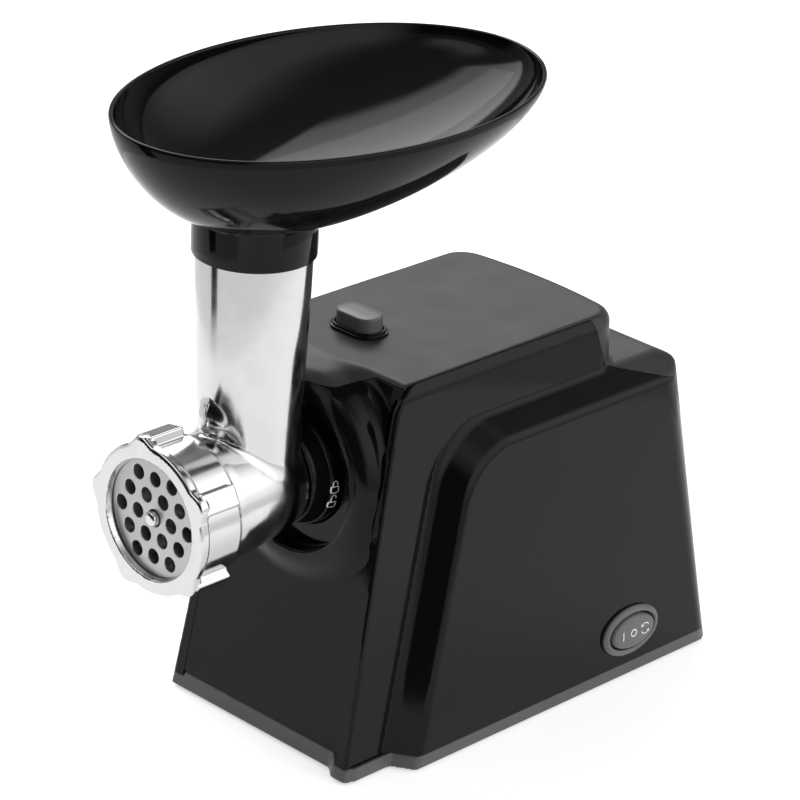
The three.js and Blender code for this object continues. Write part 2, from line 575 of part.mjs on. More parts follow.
function motor() {
  const { x, z } = MOTOR;
  const from = STATOR.back;
  const to = from + STATOR.length;
  const boltX = STATOR.width / 2 - 4.2;
  const boltHoles = [1, -1].map((side) =>
    rodY(2.2, back(from - 30), back(to + 40), x + side * boltX, z, SMALL));
  const stack = pushY(roundedRectangle(x, z, STATOR.width, STATOR.height, 8), back(from), back(to), 4);
  const opening = pushY(statorWindow(x, z), back(from - 1), back(to + 1), 8);
  piece("motor_stator", cut(stack, opening, ...boltHoles), STEEL);

  for (const [side, name] of [[1, "field_coil_upper"], [-1, "field_coil_lower"]]) {
    const outer = roundedRectangle(x, back((from + to) / 2), 49, STATOR.length + 18, 8);
    outer.holes.push(roundedRectangle(x, back((from + to) / 2), 33.4, STATOR.length + 3, 2));
    const [low, high] = [15.5, STATOR.height / 2 - 8.4];
    const coil = side > 0 ? pushZ(outer, z + low, z + high, 2) : pushZ(outer, z - high, z - low, 2);
    piece(name, cut(coil, rodY(21.4, back(from - 20), back(to + 20), x, z)), COPPER);
  }

  const armature = turnY([
    [0, back(158.5)], [MOTOR_SHAFT_R * 0.75, back(158.5)], [MOTOR_SHAFT_R * 0.75, back(172)],
    [MOTOR_SHAFT_R, back(172)], [MOTOR_SHAFT_R, back(from - 9)], [12, back(from - 9)],
    [17.5, back(from - 1)], [20.2, back(from - 1)], [20.2, back(to + 1)], [17.5, back(to + 1)],
    [11, back(to + 8)], [MOTOR_SHAFT_R, back(to + 8)], [MOTOR_SHAFT_R, back(to + 40)],
    [0, back(to + 40)],
  ], x, z);
  piece("armature", armature, COPPER);
  const commutator = ringY(MOTOR_SHAFT_R + GAP, 11, back(to + 9), back(to + 25), x, z);
  piece("commutator", commutator, COPPER);

  const hub = ringY(MOTOR_SHAFT_R + GAP, 8, back(183.5), back(194), x, z);
  const disc = ringY(7, 30, back(192), back(194), x, z);
  const blades = Array.from({ length: 8 }, (_, i) =>
    solid(new THREE.BoxGeometry(22, 8, 1.6).translate(18, back(188.5), 0)
      .rotateY(radians(45 * i)).translate(x, 0, z)));
  piece("cooling_fan", join(hub, disc, ...blades), NYLON);

  const bridge = (near, far, thick, name, bearingName, bearingBack) => {
    const plate = roundedRectangle(x, z, STATOR.width, 26, 6);
    const [low, high] = [Math.min(near, far), Math.max(near, far)];
    const legs = [1, -1].map((side) => {
      const [a, b] = [x + side * boltX - 3.6, x + side * boltX + 3.6];
      return box(a, b, back(low), back(high), z - 8, z + 8);
    });
    const shelf = far < near ? [far, far + thick] : [far - thick, far];
    const frame = join(pushY(plate, back(shelf[0]), back(shelf[1]), 2), ...legs);
    const seat = rodY(9.4, back(shelf[0] - 1), back(shelf[1] + 1), x, z);
    piece(name, cut(frame, seat, ...boltHoles), CAST_ALUMINIUM);
    const [start, end] = [back(bearingBack), back(bearingBack + 5)];
    piece(bearingName, ringY(MOTOR_SHAFT_R + GAP, 9.1, start, end, x, z), BRASS);
  };
  bridge(from - GAP, 178.5, 3.5, "front_bracket", "front_bearing", 177);
  bridge(to + GAP, to + 38, 3.5, "rear_bracket", "rear_bearing", to + 33.5);

  for (const [side, word] of [[1, "right"], [-1, "left"]]) {
    const [near, far] = [x + side * 15, x + side * (boltX - 4)];
    const brush = [x + side * 11.4, x + side * 25];
    const sort = (a, b) => [Math.min(a, b), Math.max(a, b)];
    const holder = box(...sort(near, far), back(to + 11), back(to + 23), z - 5.5, z + 5.5);
    const guide = sort(x + side * 10, x + side * 26);
    const channel = box(...guide, back(to + 13), back(to + 21), z - 3.6, z + 3.6);
    piece("brush_holder_" + word, cut(holder, channel), BRASS);
    piece("carbon_brush_" + word,
      box(...sort(...brush), back(to + 13.4), back(to + 20.6), z - 3.2, z + 3.2), CARBON);
    const bolt = [[0, back(179)], [1.9, back(179)], [1.9, back(to + 38.3)], [3.6, back(to + 38.3)],
      [3.6, back(to + 41)], [0, back(to + 41)]];
    piece("motor_bolt_" + word, turnY(bolt, x + side * boltX, z, SMALL), STEEL);
  }
}

// ---------- controls ----------
function controls() {
  const bezel = roundedRectangle(BUTTON.x, back(BUTTON.back), BUTTON.length + 6, BUTTON.width + 6, 10);
  bezel.holes.push(buttonOutline(0.7));
  piece("button_bezel", pushZ(bezel, TOP_Z + GAP, TOP_Z + 2.8, 3), RUBBER);

  // The cap's wedge pushes the bolt back as the button goes down: both faces lie at 45 degrees.
  const cap = pushZ(buttonOutline(0), BUTTON.bottom, BUTTON.top, 3);
  const wedgeTop = BUTTON.bottom + 1;
  const wedge = pushX(polygon([[back(138), wedgeTop], [back(138), wedgeTop - 9], [back(147), wedgeTop]]),
    BUTTON.x - 3.5, BUTTON.x + 3.5);
  piece("release_button", join(cap, wedge), CONTROL_GREY);
  const [barLow, barHigh] = LATCH_Z;
  const bolt = polygon([
    [back(108.3), AXIS_Z + PLUG_R + 1], [back(112), AXIS_Z + PLUG_R + 1], [back(112), barLow],
    [back(154), barLow], [back(154), 191], [back(150), wedgeTop - 6.7 + 1.6],
    [back(140.8), barHigh], [back(108.3), barHigh],
  ]);
  piece("latch_bolt", pushX(bolt, BUTTON.x - 3, BUTTON.x + 3), STEEL);
  const springX = BUTTON.x + 8.5;
  const spring = ringZ(2.2, 3.4, GEARBOX_ROOF_Z, BUTTON.bottom - GAP, springX, back(BUTTON.back), SMALL);
  piece("button_spring", spring, STEEL);

  const flange = ellipse(SWITCH.length / 2, SWITCH.width / 2);
  flange.holes.push(ellipse(17.4, 9.8));
  const sleeve = ellipse(18.5, 10.8);
  sleeve.holes.push(ellipse(17.4, 9.8));
  const surround = join(pushZ(flange, GAP, 2.8, 13), pushZ(sleeve, -8, 1, 13));
  piece("switch_bezel", surround, CONTROL_GREY, switchFrame);
  const crown = Array.from({ length: 4 }, (_, i) => {
    const [rise, shrink] = [Math.sin((i * Math.PI) / 6), Math.cos((i * Math.PI) / 6)];
    return [2.2 + 2.6 * rise, 0.7 + 0.3 * shrink];
  });
  const dome = [[-3.5, 1], ...crown].flatMap(([z, share]) =>
    Array.from({ length: MEDIUM }, (_, i) => {
      const turn = (2 * Math.PI * i) / MEDIUM;
      return [16 * share * Math.cos(turn), 9.2 * share * Math.sin(turn), z];
    }));
  piece("switch_rocker", hull(dome), CONTROL_GREY, switchFrame);
  const block = new THREE.BoxGeometry(30, 17, 16).translate(0, 0, -16.6);
  piece("switch_body", solid(block), SATIN_BLACK, switchFrame);
  model.add(switchFrame);

  const wallAt = REAR - 0.14 * (INLET.z - 12);
  const grommet = [[4, back(wallAt - 12)], [10.5, back(wallAt - 12)], [10.5, back(wallAt - 8)],
    [INLET.r, back(wallAt - 8)], [INLET.r, back(wallAt + 1.4)], [10.5, back(wallAt + 1.4)],
    [9.5, back(wallAt + 4)], [4, back(wallAt + 4)], [4, back(wallAt - 12)]];
  piece("cord_inlet", turnY(grommet, INLET.x, INLET.z, 14), RUBBER);
}

// ---------- grinding head ----------
function grindingHead() {
  const axis = [0, AXIS_Z];
  const barrel = turnY([
    [0, back(1.5)], [BARREL_R, back(1.5)], [BARREL_R, back(30)], [31.6, back(48)], [29.8, back(66)],
    [26.4, back(78)], [PLUG_R, back(79.5)], [PLUG_R, back(110)], [0, back(110)],
  ], ...axis, LARGE);
  const tube = turnZ([[0, AXIS_Z], [25, AXIS_Z], [25.5, AXIS_Z + 35], [28.5, SPIGOT_Z - 3],
    [28.5, TUBE_TOP_Z], [0, TUBE_TOP_Z]], 0, back(TUBE_BACK), LARGE);
  const fillet = turnZ([[0, AXIS_Z], [33, AXIS_Z + 16], [29, AXIS_Z + 27], [26.4, AXIS_Z + 34],
    [25, AXIS_Z + 44], [0, AXIS_Z + 44]], 0, back(TUBE_BACK), LARGE);
  const castBoss = solid(new THREE.SphereGeometry(1, 12, 8).scale(6, 8, 13)
    .translate(0, back(TUBE_BACK - 23), AXIS_Z + 39));
  const chamber = turnY([
    [0, back(-5)], [PLATE_R + GAP, back(-5)], [PLATE_R + GAP, back(PLATE_THICK + GAP)],
    [BORE_R, back(PLATE_THICK + GAP)], [BORE_R, back(58)], [21, back(76)], [11, back(84)],
    [11, back(120)], [0, back(120)],
  ], ...axis, LARGE);
  const throat = turnZ([[0, AXIS_Z], [TUBE_BORE_R, AXIS_Z], [TUBE_BORE_R + 2.5, TUBE_TOP_Z + 5],
    [0, TUBE_TOP_Z + 5]], 0, back(TUBE_BACK), LARGE);
  const collarRoom = ringY(PLUG_R, COLLAR_R + 0.8, back(79.4), back(100), ...axis, LARGE);
  const casting = join(barrel, cut(join(tube, fillet), collarRoom), castBoss);
  piece("grinder_head", cut(casting, chamber, throat), CAST_ALUMINIUM);
  const collar = turnY([
    [PLUG_R + 0.4, back(80)], [PLUG_R + 2, back(80)], [26.6, back(84)], [28, back(89)],
    [COLLAR_R, back(95)], [COLLAR_R, back(95.7)], [29.3, back(95.7)], [29.3, back(99.5)],
    [PLUG_R + 4.4, back(99.5)], [PLUG_R + 4.4, back(95.7)], [PLUG_R + 0.4, back(95.7)],
    [PLUG_R + 0.4, back(80)],
  ], ...axis, LARGE);
  piece("lock_collar", collar, GLOSS_BLACK);

  const plateShape = circleAt(0, AXIS_Z, PLATE_R);
  plateShape.holes.push(circleAt(0, AXIS_Z, 4.4));
  for (let ring = 1; ring <= 2; ring++) {
    for (let i = 0; i < 6 * ring; i++) {
      const corner = radians(60 * Math.floor(i / ring));
      const along = (i % ring) / ring;
      const next = corner + radians(60);
      const reach = PLATE_PITCH * ring;
      const x = reach * ((1 - along) * Math.cos(corner) + along * Math.cos(next));
      const z = reach * ((1 - along) * Math.sin(corner) + along * Math.sin(next));
      plateShape.holes.push(circleAt(x, AXIS_Z + z, PLATE_HOLE_R));
    }
  }
  piece("cutting_plate", pushY(plateShape, back(0), back(PLATE_THICK), 4), STEEL);

  const sleeve = turnY([
    [NUT_OPENING_R, back(-3)], [NUT_R - 1, back(-3)], [NUT_R, back(-1.6)], [NUT_R, back(NUT_LENGTH - 4)],
    [NUT_R - 0.8, back(NUT_LENGTH - 3)], [BARREL_R + GAP, back(NUT_LENGTH - 3)],
    [BARREL_R + GAP, back(-GAP)], [NUT_OPENING_R, back(-GAP)], [NUT_OPENING_R, back(-3)],
  ], ...axis, LARGE);
  const lugs = Array.from({ length: LUG_COUNT }, (_, i) => {
    const lug = roundedRectangle(NUT_R + 1.2, 0, 8.6, 11, 3);
    const block = extrude(lug, NUT_LENGTH - 3, 2).applyMatrix4(ALONG_Y)
      .translate(0, back(NUT_LENGTH - 6), 0);
    return solid(block.rotateY(-radians(LUG_FIRST_DEG + (360 / LUG_COUNT) * i))
      .translate(0, 0, AXIS_Z));
  });
  const bore = rodY(BARREL_R + GAP, back(-GAP), back(40), ...axis, LARGE);
  piece("ring_nut", join(sleeve, ...lugs.map((lug) => cut(lug, bore))), CAST_ALUMINIUM);
}

// The auger's flight: a lobed section that turns as it goes back, three turns in all.
function augerFlight() {
  const [from, to, slices, turns] = [13, 74, 24, 2.5];
  const sides = 14;
  const core = 9;
  const lobe = (angle, reach) => {
    const off = Math.abs(((angle + 3 * Math.PI) % (2 * Math.PI)) - Math.PI);
    return off < 0.62 ? reach : off < 1.25 ? core + (reach - core) * 0.25 : core;
  };
  const ring = Array.from({ length: sides }, (_, i) => (2 * Math.PI * i) / sides);
  const shape = polygon(ring.map((a) => [Math.cos(a), Math.sin(a)]));
  const geometry = new THREE.ExtrudeGeometry(shape, {
    depth: to - from, steps: slices, bevelEnabled: false,
  });
  const position = geometry.getAttribute("position");
  for (let i = 0; i < position.count; i++) {
    const [x, y, depth] = [position.getX(i), position.getY(i), position.getZ(i)];
    const angle = Math.atan2(y, x);
    const share = depth / (to - from);
    const placeBack = to - depth;
    const reach = placeBack < 57 ? AUGER_R : AUGER_R - (placeBack - 57) * 0.42;
    const radius = lobe(angle, reach);
    const turned = angle + 2 * Math.PI * turns * share;
    position.setXY(i, radius * Math.cos(turned), radius * Math.sin(turned));
  }
  return solid(geometry.applyMatrix4(ALONG_Y).translate(0, back(to), AXIS_Z));
}

function auger() {
  const axis = [0, AXIS_Z];
  const square = roundedRectangle(0, AXIS_Z, 10, 10, 1);
  const core = turnY([[0, back(11)], [10.3, back(13)], [10.3, back(82)], [9, back(84)],
    [9, back(109)], [0, back(109)]], ...axis);
  const nose = join(rodY(4, back(-3.6), back(8), ...axis, SMALL), pushY(square, back(5.6), back(13), 1));
  const socket = new THREE.Shape(Array.from({ length: 6 }, (_, i) =>
    v2(5.5 * Math.cos(radians(60 * i)), AXIS_Z + 5.5 * Math.sin(radians(60 * i)))));
  piece("auger", cut(join(augerFlight(), core, nose), pushY(socket, back(92), back(120))), CAST_ALUMINIUM);
  piece("auger_bush", ringY(9.3, 10.7, back(86), back(104), ...axis), NYLON);

  const blades = Array.from({ length: 4 }, (_, i) => {
    const blade = polygon([[4, -4], [KNIFE_R, -2.5], [KNIFE_R, 4.5], [4, 6]]);
    const geometry = extrude(blade, 4).applyMatrix4(ALONG_Y).translate(0, back(9.8), 0);
    return solid(geometry.rotateY(-radians(90 * i + 20)).translate(0, 0, AXIS_Z));
  });
  const hub = rodY(9.5, back(PLATE_THICK + 0.4), back(10.6), ...axis);
  const squareHole = pushY(roundedRectangle(0, AXIS_Z, 10.6, 10.6, 1), back(0), back(20), 1);
  piece("knife", cut(join(hub, ...blades), squareHole), STEEL);
}

// ---------- tray ----------
// Rings of an egg-shaped bowl that opens from the spigot to the rim; t takes the wall off inside.
function bowl(t, rimZ) {
  const sides = 26;
  const levels = 6;
  const bottom = SPIGOT_Z + 20.3 + t;
  const rings = Array.from({ length: levels }, (_, k) => {
    const share = (k / (levels - 1)) ** 1.8;
    const open = (1 - (1 - share) ** 1.55) ** (1 / 1.55);
    const halfLength = SPIGOT_R + (RIM_HALF_LENGTH - SPIGOT_R) * open - t;
    const halfWidth = SPIGOT_R + (RIM_HALF_WIDTH - SPIGOT_R) * open - t;
    const middle = TUBE_BACK + (RIM_BACK - TUBE_BACK) * open;
    const z = bottom + (rimZ - bottom) * share;
    return Array.from({ length: sides }, (_, i) => {
      const turn = (2 * Math.PI * i) / sides;
      return [halfWidth * Math.cos(turn), back(middle + halfLength * Math.sin(turn)), z];
    });
  });
  return loft(rings);
}

// Joins rings of equal count into one closed skin: an extruded prism whose layers are moved to them.
function loft(rings) {
  const sides = rings[0].length;
  const steps = rings.length - 1;
  const unit = Array.from({ length: sides }, (_, i) => (2 * Math.PI * i) / sides);
  const prism = new THREE.ExtrudeGeometry(polygon(unit.map((a) => [Math.cos(a), Math.sin(a)])), {
    depth: steps, steps, bevelEnabled: false,
  });
  const position = prism.getAttribute("position");
  for (let i = 0; i < position.count; i++) {
    const angle = Math.atan2(position.getY(i), position.getX(i)) + 2 * Math.PI;
    const side = Math.round((angle / (2 * Math.PI)) * sides) % sides;
    const level = Math.round(position.getZ(i));
    position.setXYZ(i, ...rings[level][side]);
  }
  return solid(prism);
}

function tray() {
  const spigot = rodZ(SPIGOT_R, SPIGOT_Z, SPIGOT_Z + 21.5, 0, back(TUBE_BACK), LARGE);
  const socket = rodZ(28.5 + GAP, SPIGOT_Z - 5, TUBE_TOP_Z + GAP, 0, back(TUBE_BACK), LARGE);
  const throat = rodZ(TUBE_BORE_R + 2.5, SPIGOT_Z - 5, RIM_Z, 0, back(TUBE_BACK), LARGE);
  const shell = cut(join(bowl(0, RIM_Z), spigot), bowl(TRAY_WALL, RIM_Z + 0.5), socket, throat);
  piece("tray", shell, GLOSS_BLACK);
}

housing();
gears();
motor();
controls();
grindingHead();
auger();
tray();

export default model;
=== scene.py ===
"""Electric meat grinder: smooth outer pieces, materials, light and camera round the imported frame.
Shapes are worked out in millimetres in the frame's axes; make_object scales them to metres."""
import json
import math

import bmesh
import bpy
import numpy as np
from mathutils import Matrix, Vector


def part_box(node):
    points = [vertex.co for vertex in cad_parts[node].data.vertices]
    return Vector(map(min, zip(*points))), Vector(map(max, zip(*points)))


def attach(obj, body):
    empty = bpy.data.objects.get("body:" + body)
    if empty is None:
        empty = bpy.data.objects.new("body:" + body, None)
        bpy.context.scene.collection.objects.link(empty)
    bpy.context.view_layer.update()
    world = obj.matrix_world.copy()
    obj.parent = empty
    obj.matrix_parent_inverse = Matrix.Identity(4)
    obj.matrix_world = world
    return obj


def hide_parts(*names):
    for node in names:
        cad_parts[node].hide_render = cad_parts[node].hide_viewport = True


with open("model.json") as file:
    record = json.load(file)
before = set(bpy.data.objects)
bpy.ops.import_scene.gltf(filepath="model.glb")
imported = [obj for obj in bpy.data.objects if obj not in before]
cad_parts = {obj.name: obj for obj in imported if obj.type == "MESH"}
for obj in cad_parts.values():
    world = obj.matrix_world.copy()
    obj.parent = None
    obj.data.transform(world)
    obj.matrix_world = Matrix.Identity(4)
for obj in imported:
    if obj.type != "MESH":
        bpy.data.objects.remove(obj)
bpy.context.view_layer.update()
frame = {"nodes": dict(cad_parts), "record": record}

MM = 0.001

# ---------- driving dimensions, in millimetres, taken from the frame ----------


def low_high(node):
    low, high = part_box(node)
    return np.array(low) / MM, np.array(high) / MM


FACE_Y = low_high("cutting_plate")[0][1]
AXIS_Z = low_high("drive_shaft")[0][2] + 6.0
TOP_Z = low_high("top_rear_cover")[1][2]
SPIGOT_Z, RIM_Z = (corner[2] for corner in low_high("tray"))

SKIRT_Z = 1.5  # lower edge of the base
FLOOR_Z = 4.0  # underside of the base's floor
SEAM_Z = 8.6  # top of the base at the sides
FRONT_SEAM_Z = 11.0  # and at the front
EAVE_Z = 193.0  # top of the front panel
LEDGE_Z = 171.0
DRAFT = 0.047  # how the sides lean in with height
FRAME_HALF = 66.0  # half width of the tall block at the seam
PANEL_HALF = 80.4  # and of the raised panels
FRONT_FOOT, FRONT_TOP = 76.0, 111.0  # the leaning front, behind the plate's face
REAR = 331.0  # the rear wall's foot, likewise
BOX_HALF = 84.0  # half width of the boxes searched for the housing
LIP, LIP_WALL = 5.5, 7.2  # how far the right panel stands out in front, and its wall there
SHELL = 2.4  # wall of the housing's shells
SEAM = 0.2  # half of the gap at a seam
SKIN = SHELL - 0.3  # wall of the side panels and the cover
FRONT_SKIN = 0.9
RECESS_R, RECESS_FRONT, RECESS_BACK = 42.5, 87.3, 96.0
COLLAR_R, PLUG_R = 30.0, 24.0
HOOD_R = 57.5
NUT_R, NUT_BORE_R, NUT_OPENING_R = 36.6, 33.7, 29.6
PLATE_R, PLATE_HOLE_R, PLATE_PITCH = 31.0, 3.75, 11.7
TUBE_BACK = 60.0
SPIGOT_R = 30.3
RIM_BACK, RIM_HALF_LENGTH, RIM_HALF_WIDTH = 107.5, 121.4, 81.1
TRAY_WALL = 2.4
BUTTON = {"x": -10.0, "back": 143.0, "length": 26.0, "width": 15.0, "corner": 7.0}
SWITCH_BACK, SWITCH_Z = 262.0, 27.6
INLET = {"x": -38.0, "z": 30.0, "r": 7.8}


def back(distance):
    """The y of a place that lies so far behind the cutting plate's face."""
    return FACE_Y + distance


def lean(half, z):
    return half - DRAFT * (z - SEAM_Z)


def front_at(z):
    """How far behind the plate's face the leaning front panel lies, at a height."""
    return FRONT_FOOT + (FRONT_TOP - FRONT_FOOT) * (z - FRONT_SEAM_Z) / (TOP_Z - FRONT_SEAM_Z)


# ---------- solids as fields: below 0 inside, in millimetres ----------


def meet(r, *fields):
    """The part that all fields share, with its edges rounded to radius r."""
    most = np.maximum.reduce(fields)
    corner = np.sqrt(sum(np.maximum(f + r, 0) ** 2 for f in fields))
    return np.minimum(most, -r) + corner


def blend(r, *fields):
    """All fields joined, with fillets of radius r between them."""
    return -meet(r, *[-f for f in fields])


def plane(x, y, z, normal, point):
    n = np.array(normal, float)
    n /= np.linalg.norm(n)
    return n[0] * (x - point[0]) + n[1] * (y - point[1]) + n[2] * (z - point[2])


def front_plane(y, z, lip):
    """The leaning front, moved forwards by a lip."""
    return (back(front_at(z) - lip) - y) * 0.983


def raised_block(x, y, z, corner, front):
    """The tall block: leaning cheeks, flat top with a bevel along its sides, and a given front."""
    ax = np.abs(x)
    side = (ax - lean(FRAME_HALF, z)) * 0.9989
    rear = y - back(268.5 - 3.5 * (ax / 45) ** 2 + 0.015 * (TOP_Z - z))
    bevel = plane(ax, y, z, (5, 0, 3.6), (53.7, 0, TOP_Z))
    r = np.interp(y - FACE_Y, [140, 220], [1.6, 6.0])
    body = meet(r, meet(15, side, rear), meet(corner, front, z - TOP_Z))
    return meet(1.2, body, bevel)


def wide_body(x, y, z):
    """The wide lower body: raised outer panels with bevelled edges, ledge and rear wall."""
    ax = np.abs(x)
    panel = (ax - lean(PANEL_HALF, z)) * 0.9989
    corner_foot = (lean(PANEL_HALF, SKIRT_Z), back(106), SKIRT_Z)
    front_bevel = plane(ax, y, z, (9, -14.4, 3.77), corner_foot)
    top_bevel = plane(ax, y, z, (9.5, 0, 14.9), (lean(PANEL_HALF, 161.5), 0, 161.5))
    bulge = np.interp(z, [0, 165], [1.2, 3.0]) * (ax / 66) ** 2
    rear = (y - back(REAR - 0.1525 * (z - SKIRT_Z) - bulge)) * 0.99
    chamfer = plane(ax, y, z, (0, 13, 11), (0, back(296.5), LEDGE_Z))
    wall = meet(np.interp(z, [0, 165], [10, 20]), panel, rear)
    bevels = meet(22, front_bevel, top_bevel)
    body = meet(2.2, wall, bevels, meet(5, z - LEDGE_Z, chamfer))
    return np.maximum(body, back(front_at(z) + 3) - y)


def hood(x, y, z):
    """The swelling round the socket, level with the top."""
    around = np.hypot(x, z - AXIS_Z)
    wall = around - HOOD_R + 0.15 * np.maximum(back(112) - y, 0)
    return meet(9, wall, back(RECESS_FRONT) - y)


def core(x, y, z):
    """The housing between the cheeks."""
    front = blend(7, front_plane(y, z, 0), hood(x, y, z))
    return blend(2.5, raised_block(x, y, z, 3.0, front), wide_body(x, y, z))


def cheek(x, y, z, lip):
    """The housing as its cheek shows it: a larger corner where the front meets the top."""
    block = raised_block(x, y, z, 15.0, front_plane(y, z, lip))
    return blend(3.0, block, wide_body(x, y, z))


EDGE_LEAN = 5.2 / 211.0


def edge_x(z):
    """Half the distance between the two cheeks' inner edges."""
    return 59.0 - EDGE_LEAN * (z + 11.4)


# ---------- meshes from fields ----------


def gradient(field, p, h=0.02):
    g = np.empty_like(p)
    for i in range(3):
        step = np.zeros(3)
        step[i] = h
        g[:, i] = (field(*(p + step).T) - field(*(p - step).T)) / (2 * h)
    return g


def unit(v):
    return v / np.maximum(np.linalg.norm(v, axis=1, keepdims=True), 1e-9)


def settle(field, p, reach, rounds=4):
    """Moves points onto the field's surface, never by more than reach a round."""
    for _ in range(rounds):
        g = gradient(field, p)
        move = -(field(*p.T) / np.maximum((g * g).sum(1), 0.05))[:, None] * g
        size = np.linalg.norm(move, axis=1, keepdims=True)
        p = p + move * np.minimum(1, reach / np.maximum(size, 1e-9))
    return p


def surface(field, low, high, step):
    """The field's surface inside a box as points and quads, about one step apart."""
    axes = [np.arange(a, b + step, step) for a, b in zip(low, high)]
    x, y, z = np.meshgrid(*axes, indexing="ij")
    value = field(x, y, z)
    inside = value < 0
    count = np.zeros(tuple(n - 1 for n in inside.shape), int)
    total = np.zeros(count.shape + (3,))
    crossings = np.zeros(count.shape)
    grid = np.stack([x, y, z], -1)
    shape = count.shape

    def window(a, offset):
        return a[tuple(slice(o, o + n) for o, n in zip(offset, shape))]

    corners = [(i, j, k) for i in (0, 1) for j in (0, 1) for k in (0, 1)]
    for offset in corners:
        count += window(inside, offset)
    for a in corners:
        for axis in range(3):
            if a[axis]:
                continue
            b = tuple(o + (n == axis) for n, o in enumerate(a))
            va, vb = window(value, a), window(value, b)
            crosses = (va < 0) != (vb < 0)
            share = np.where(crosses, va / np.where(crosses, va - vb, 1), 0)
            place = window(grid, a) + share[..., None] * (window(grid, b) - window(grid, a))
            total += np.where(crosses[..., None], place, 0)
            crossings += crosses
    active = (count > 0) & (count < 8)
    number = np.full(shape, -1)
    number[active] = np.arange(active.sum())
    points = total[active] / crossings[active][:, None]
    quads = []
    for axis in range(3):
        u, v = [n for n in range(3) if n != axis]
        lower = [slice(0, n - 1) for n in inside.shape]
        upper = list(lower)
        lower[u] = upper[u] = slice(1, inside.shape[u] - 1)
        lower[v] = upper[v] = slice(1, inside.shape[v] - 1)
        upper[axis] = slice(1, inside.shape[axis])
        first, second = inside[tuple(lower)], inside[tuple(upper)]
        spots = np.argwhere(first != second)
        spots[:, u] += 1
        spots[:, v] += 1
        turn = first[first != second]
        ring = []
        for du, dv in ((-1, -1), (0, -1), (0, 0), (-1, 0)):
            cell = spots.copy()
            cell[:, u] += du
            cell[:, v] += dv
            ring.append(number[tuple(cell.T)])
        quad = np.stack(ring, 1)
        flip = turn if axis != 1 else ~turn
        quads.append(np.where(flip[:, None], quad, quad[:, ::-1]))
    faces = np.concatenate(quads)
    points = settle(field, points, step * 0.6)
    return settle(field, relax(points, faces, 2), step * 0.6, 3), faces


def relax(points, faces, rounds):
    """Evens out the spacing of points by moving each towards the middle of its neighbours."""
    a = faces.ravel()
    b = np.roll(faces, -1, axis=1).ravel()
    near = np.zeros(len(points))
    np.add.at(near, a, 1)
    np.add.at(near, b, 1)
    edge_count = np.zeros(len(points))
    np.add.at(edge_count, a, 1)
    for _ in range(rounds):
        total = np.zeros_like(points)
        np.add.at(total, a, points[b])
        np.add.at(total, b, points[a])
        points = points + 0.5 * (total / near[:, None] - points) * (edge_count > 3)[:, None]
    return points


def full_turn(count):
    """Angles evenly spaced round a full turn."""
    return np.arange(count) * 2 * math.pi / count


# ---------- Blender objects ----------


def link(name, data):
    """An object for a mesh, curve, light or camera, linked into the scene."""
    obj = bpy.data.objects.new(name, data)
    bpy.context.scene.collection.objects.link(obj)
    return obj


def make_object(name, points, faces, normals=None):
    """A mesh object; points in millimetres, normals one for each corner of each face."""
    mesh = bpy.data.meshes.new(name)
    mesh.from_pydata((np.asarray(points) * MM).tolist(), [], [list(map(int, f)) for f in faces])
    mesh.validate()
    mesh.update()
    for polygon in mesh.polygons:
        polygon.use_smooth = True
    if normals is not None and len(normals) == len(mesh.loops):
        mesh.normals_split_custom_set([tuple(n) for n in normals])
    elif normals is None:
        mesh.set_sharp_from_angle(angle=math.radians(35))
    return link(name, mesh)


def put(obj, body, material, slot, *nodes):
    """Material, body and the CAD nodes that a piece stands for, in one call; slot is not used."""
    obj.data.materials.clear()
    obj.data.materials.append(material)
    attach(obj, body)
    if nodes:
        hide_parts(*nodes)
    return obj


def trim(points, faces, planes, keep):
    """Cuts a surface along planes (point, normal), then keeps the faces whose middle passes."""
    mesh = bmesh.new()
    verts = [mesh.verts.new(p) for p in points.tolist()]
    for face in faces.tolist():
        if len(set(face)) == len(face):
            mesh.faces.new([verts[i] for i in face])
    for point, normal in planes:
        geometry = mesh.verts[:] + mesh.edges[:] + mesh.faces[:]
        bmesh.ops.bisect_plane(mesh, geom=geometry, dist=1e-4, plane_co=point, plane_no=normal)
    middle = np.array([f.calc_center_median() for f in mesh.faces])
    good = keep(*middle.T)
    bad = [f for f, kept in zip(mesh.faces[:], good) if not kept]
    bmesh.ops.delete(mesh, geom=bad, context="FACES")
    mesh.verts.index_update()
    out = np.array([v.co[:] for v in mesh.verts])
    cut = [[v.index for v in f.verts] for f in mesh.faces]
    mesh.free()
    return out, cut


def shell(name, field, points, faces, wall):
    """A skin with a wall inside it; its smooth normals come from the field."""
    normal = unit(gradient(field, points))
    inner = points - normal * np.broadcast_to(wall, len(points))[:, None]
    count = len(points)
    edges = dict.fromkeys(edge for face in faces for edge in zip(face, face[1:] + face[:1]))
    rim = [(b, a, a + count, b + count) for a, b in edges if (b, a) not in edges]
    inside = [[i + count for i in reversed(face)] for face in faces]
    everything = np.concatenate([points, inner])
    corner = []
    for face in faces:
        corner.extend(normal[i] for i in face)
    for face in inside:
        corner.extend(-normal[i - count] for i in face)
    for face in rim:
        a, b, c = everything[face[0]], everything[face[1]], everything[face[2]]
        n = np.cross(b - a, c - b)
        corner.extend([n / max(np.linalg.norm(n), 1e-9)] * 4)
    return make_object(name, everything, list(faces) + inside + rim, corner)


def solid_from(name, field, low, high, step):
    """A closed piece straight from a field."""
    points, faces = surface(field, low, high, step)
    normal = unit(gradient(field, points))
    corner = normal[faces.ravel()]
    return make_object(name, points, faces.tolist(), corner)


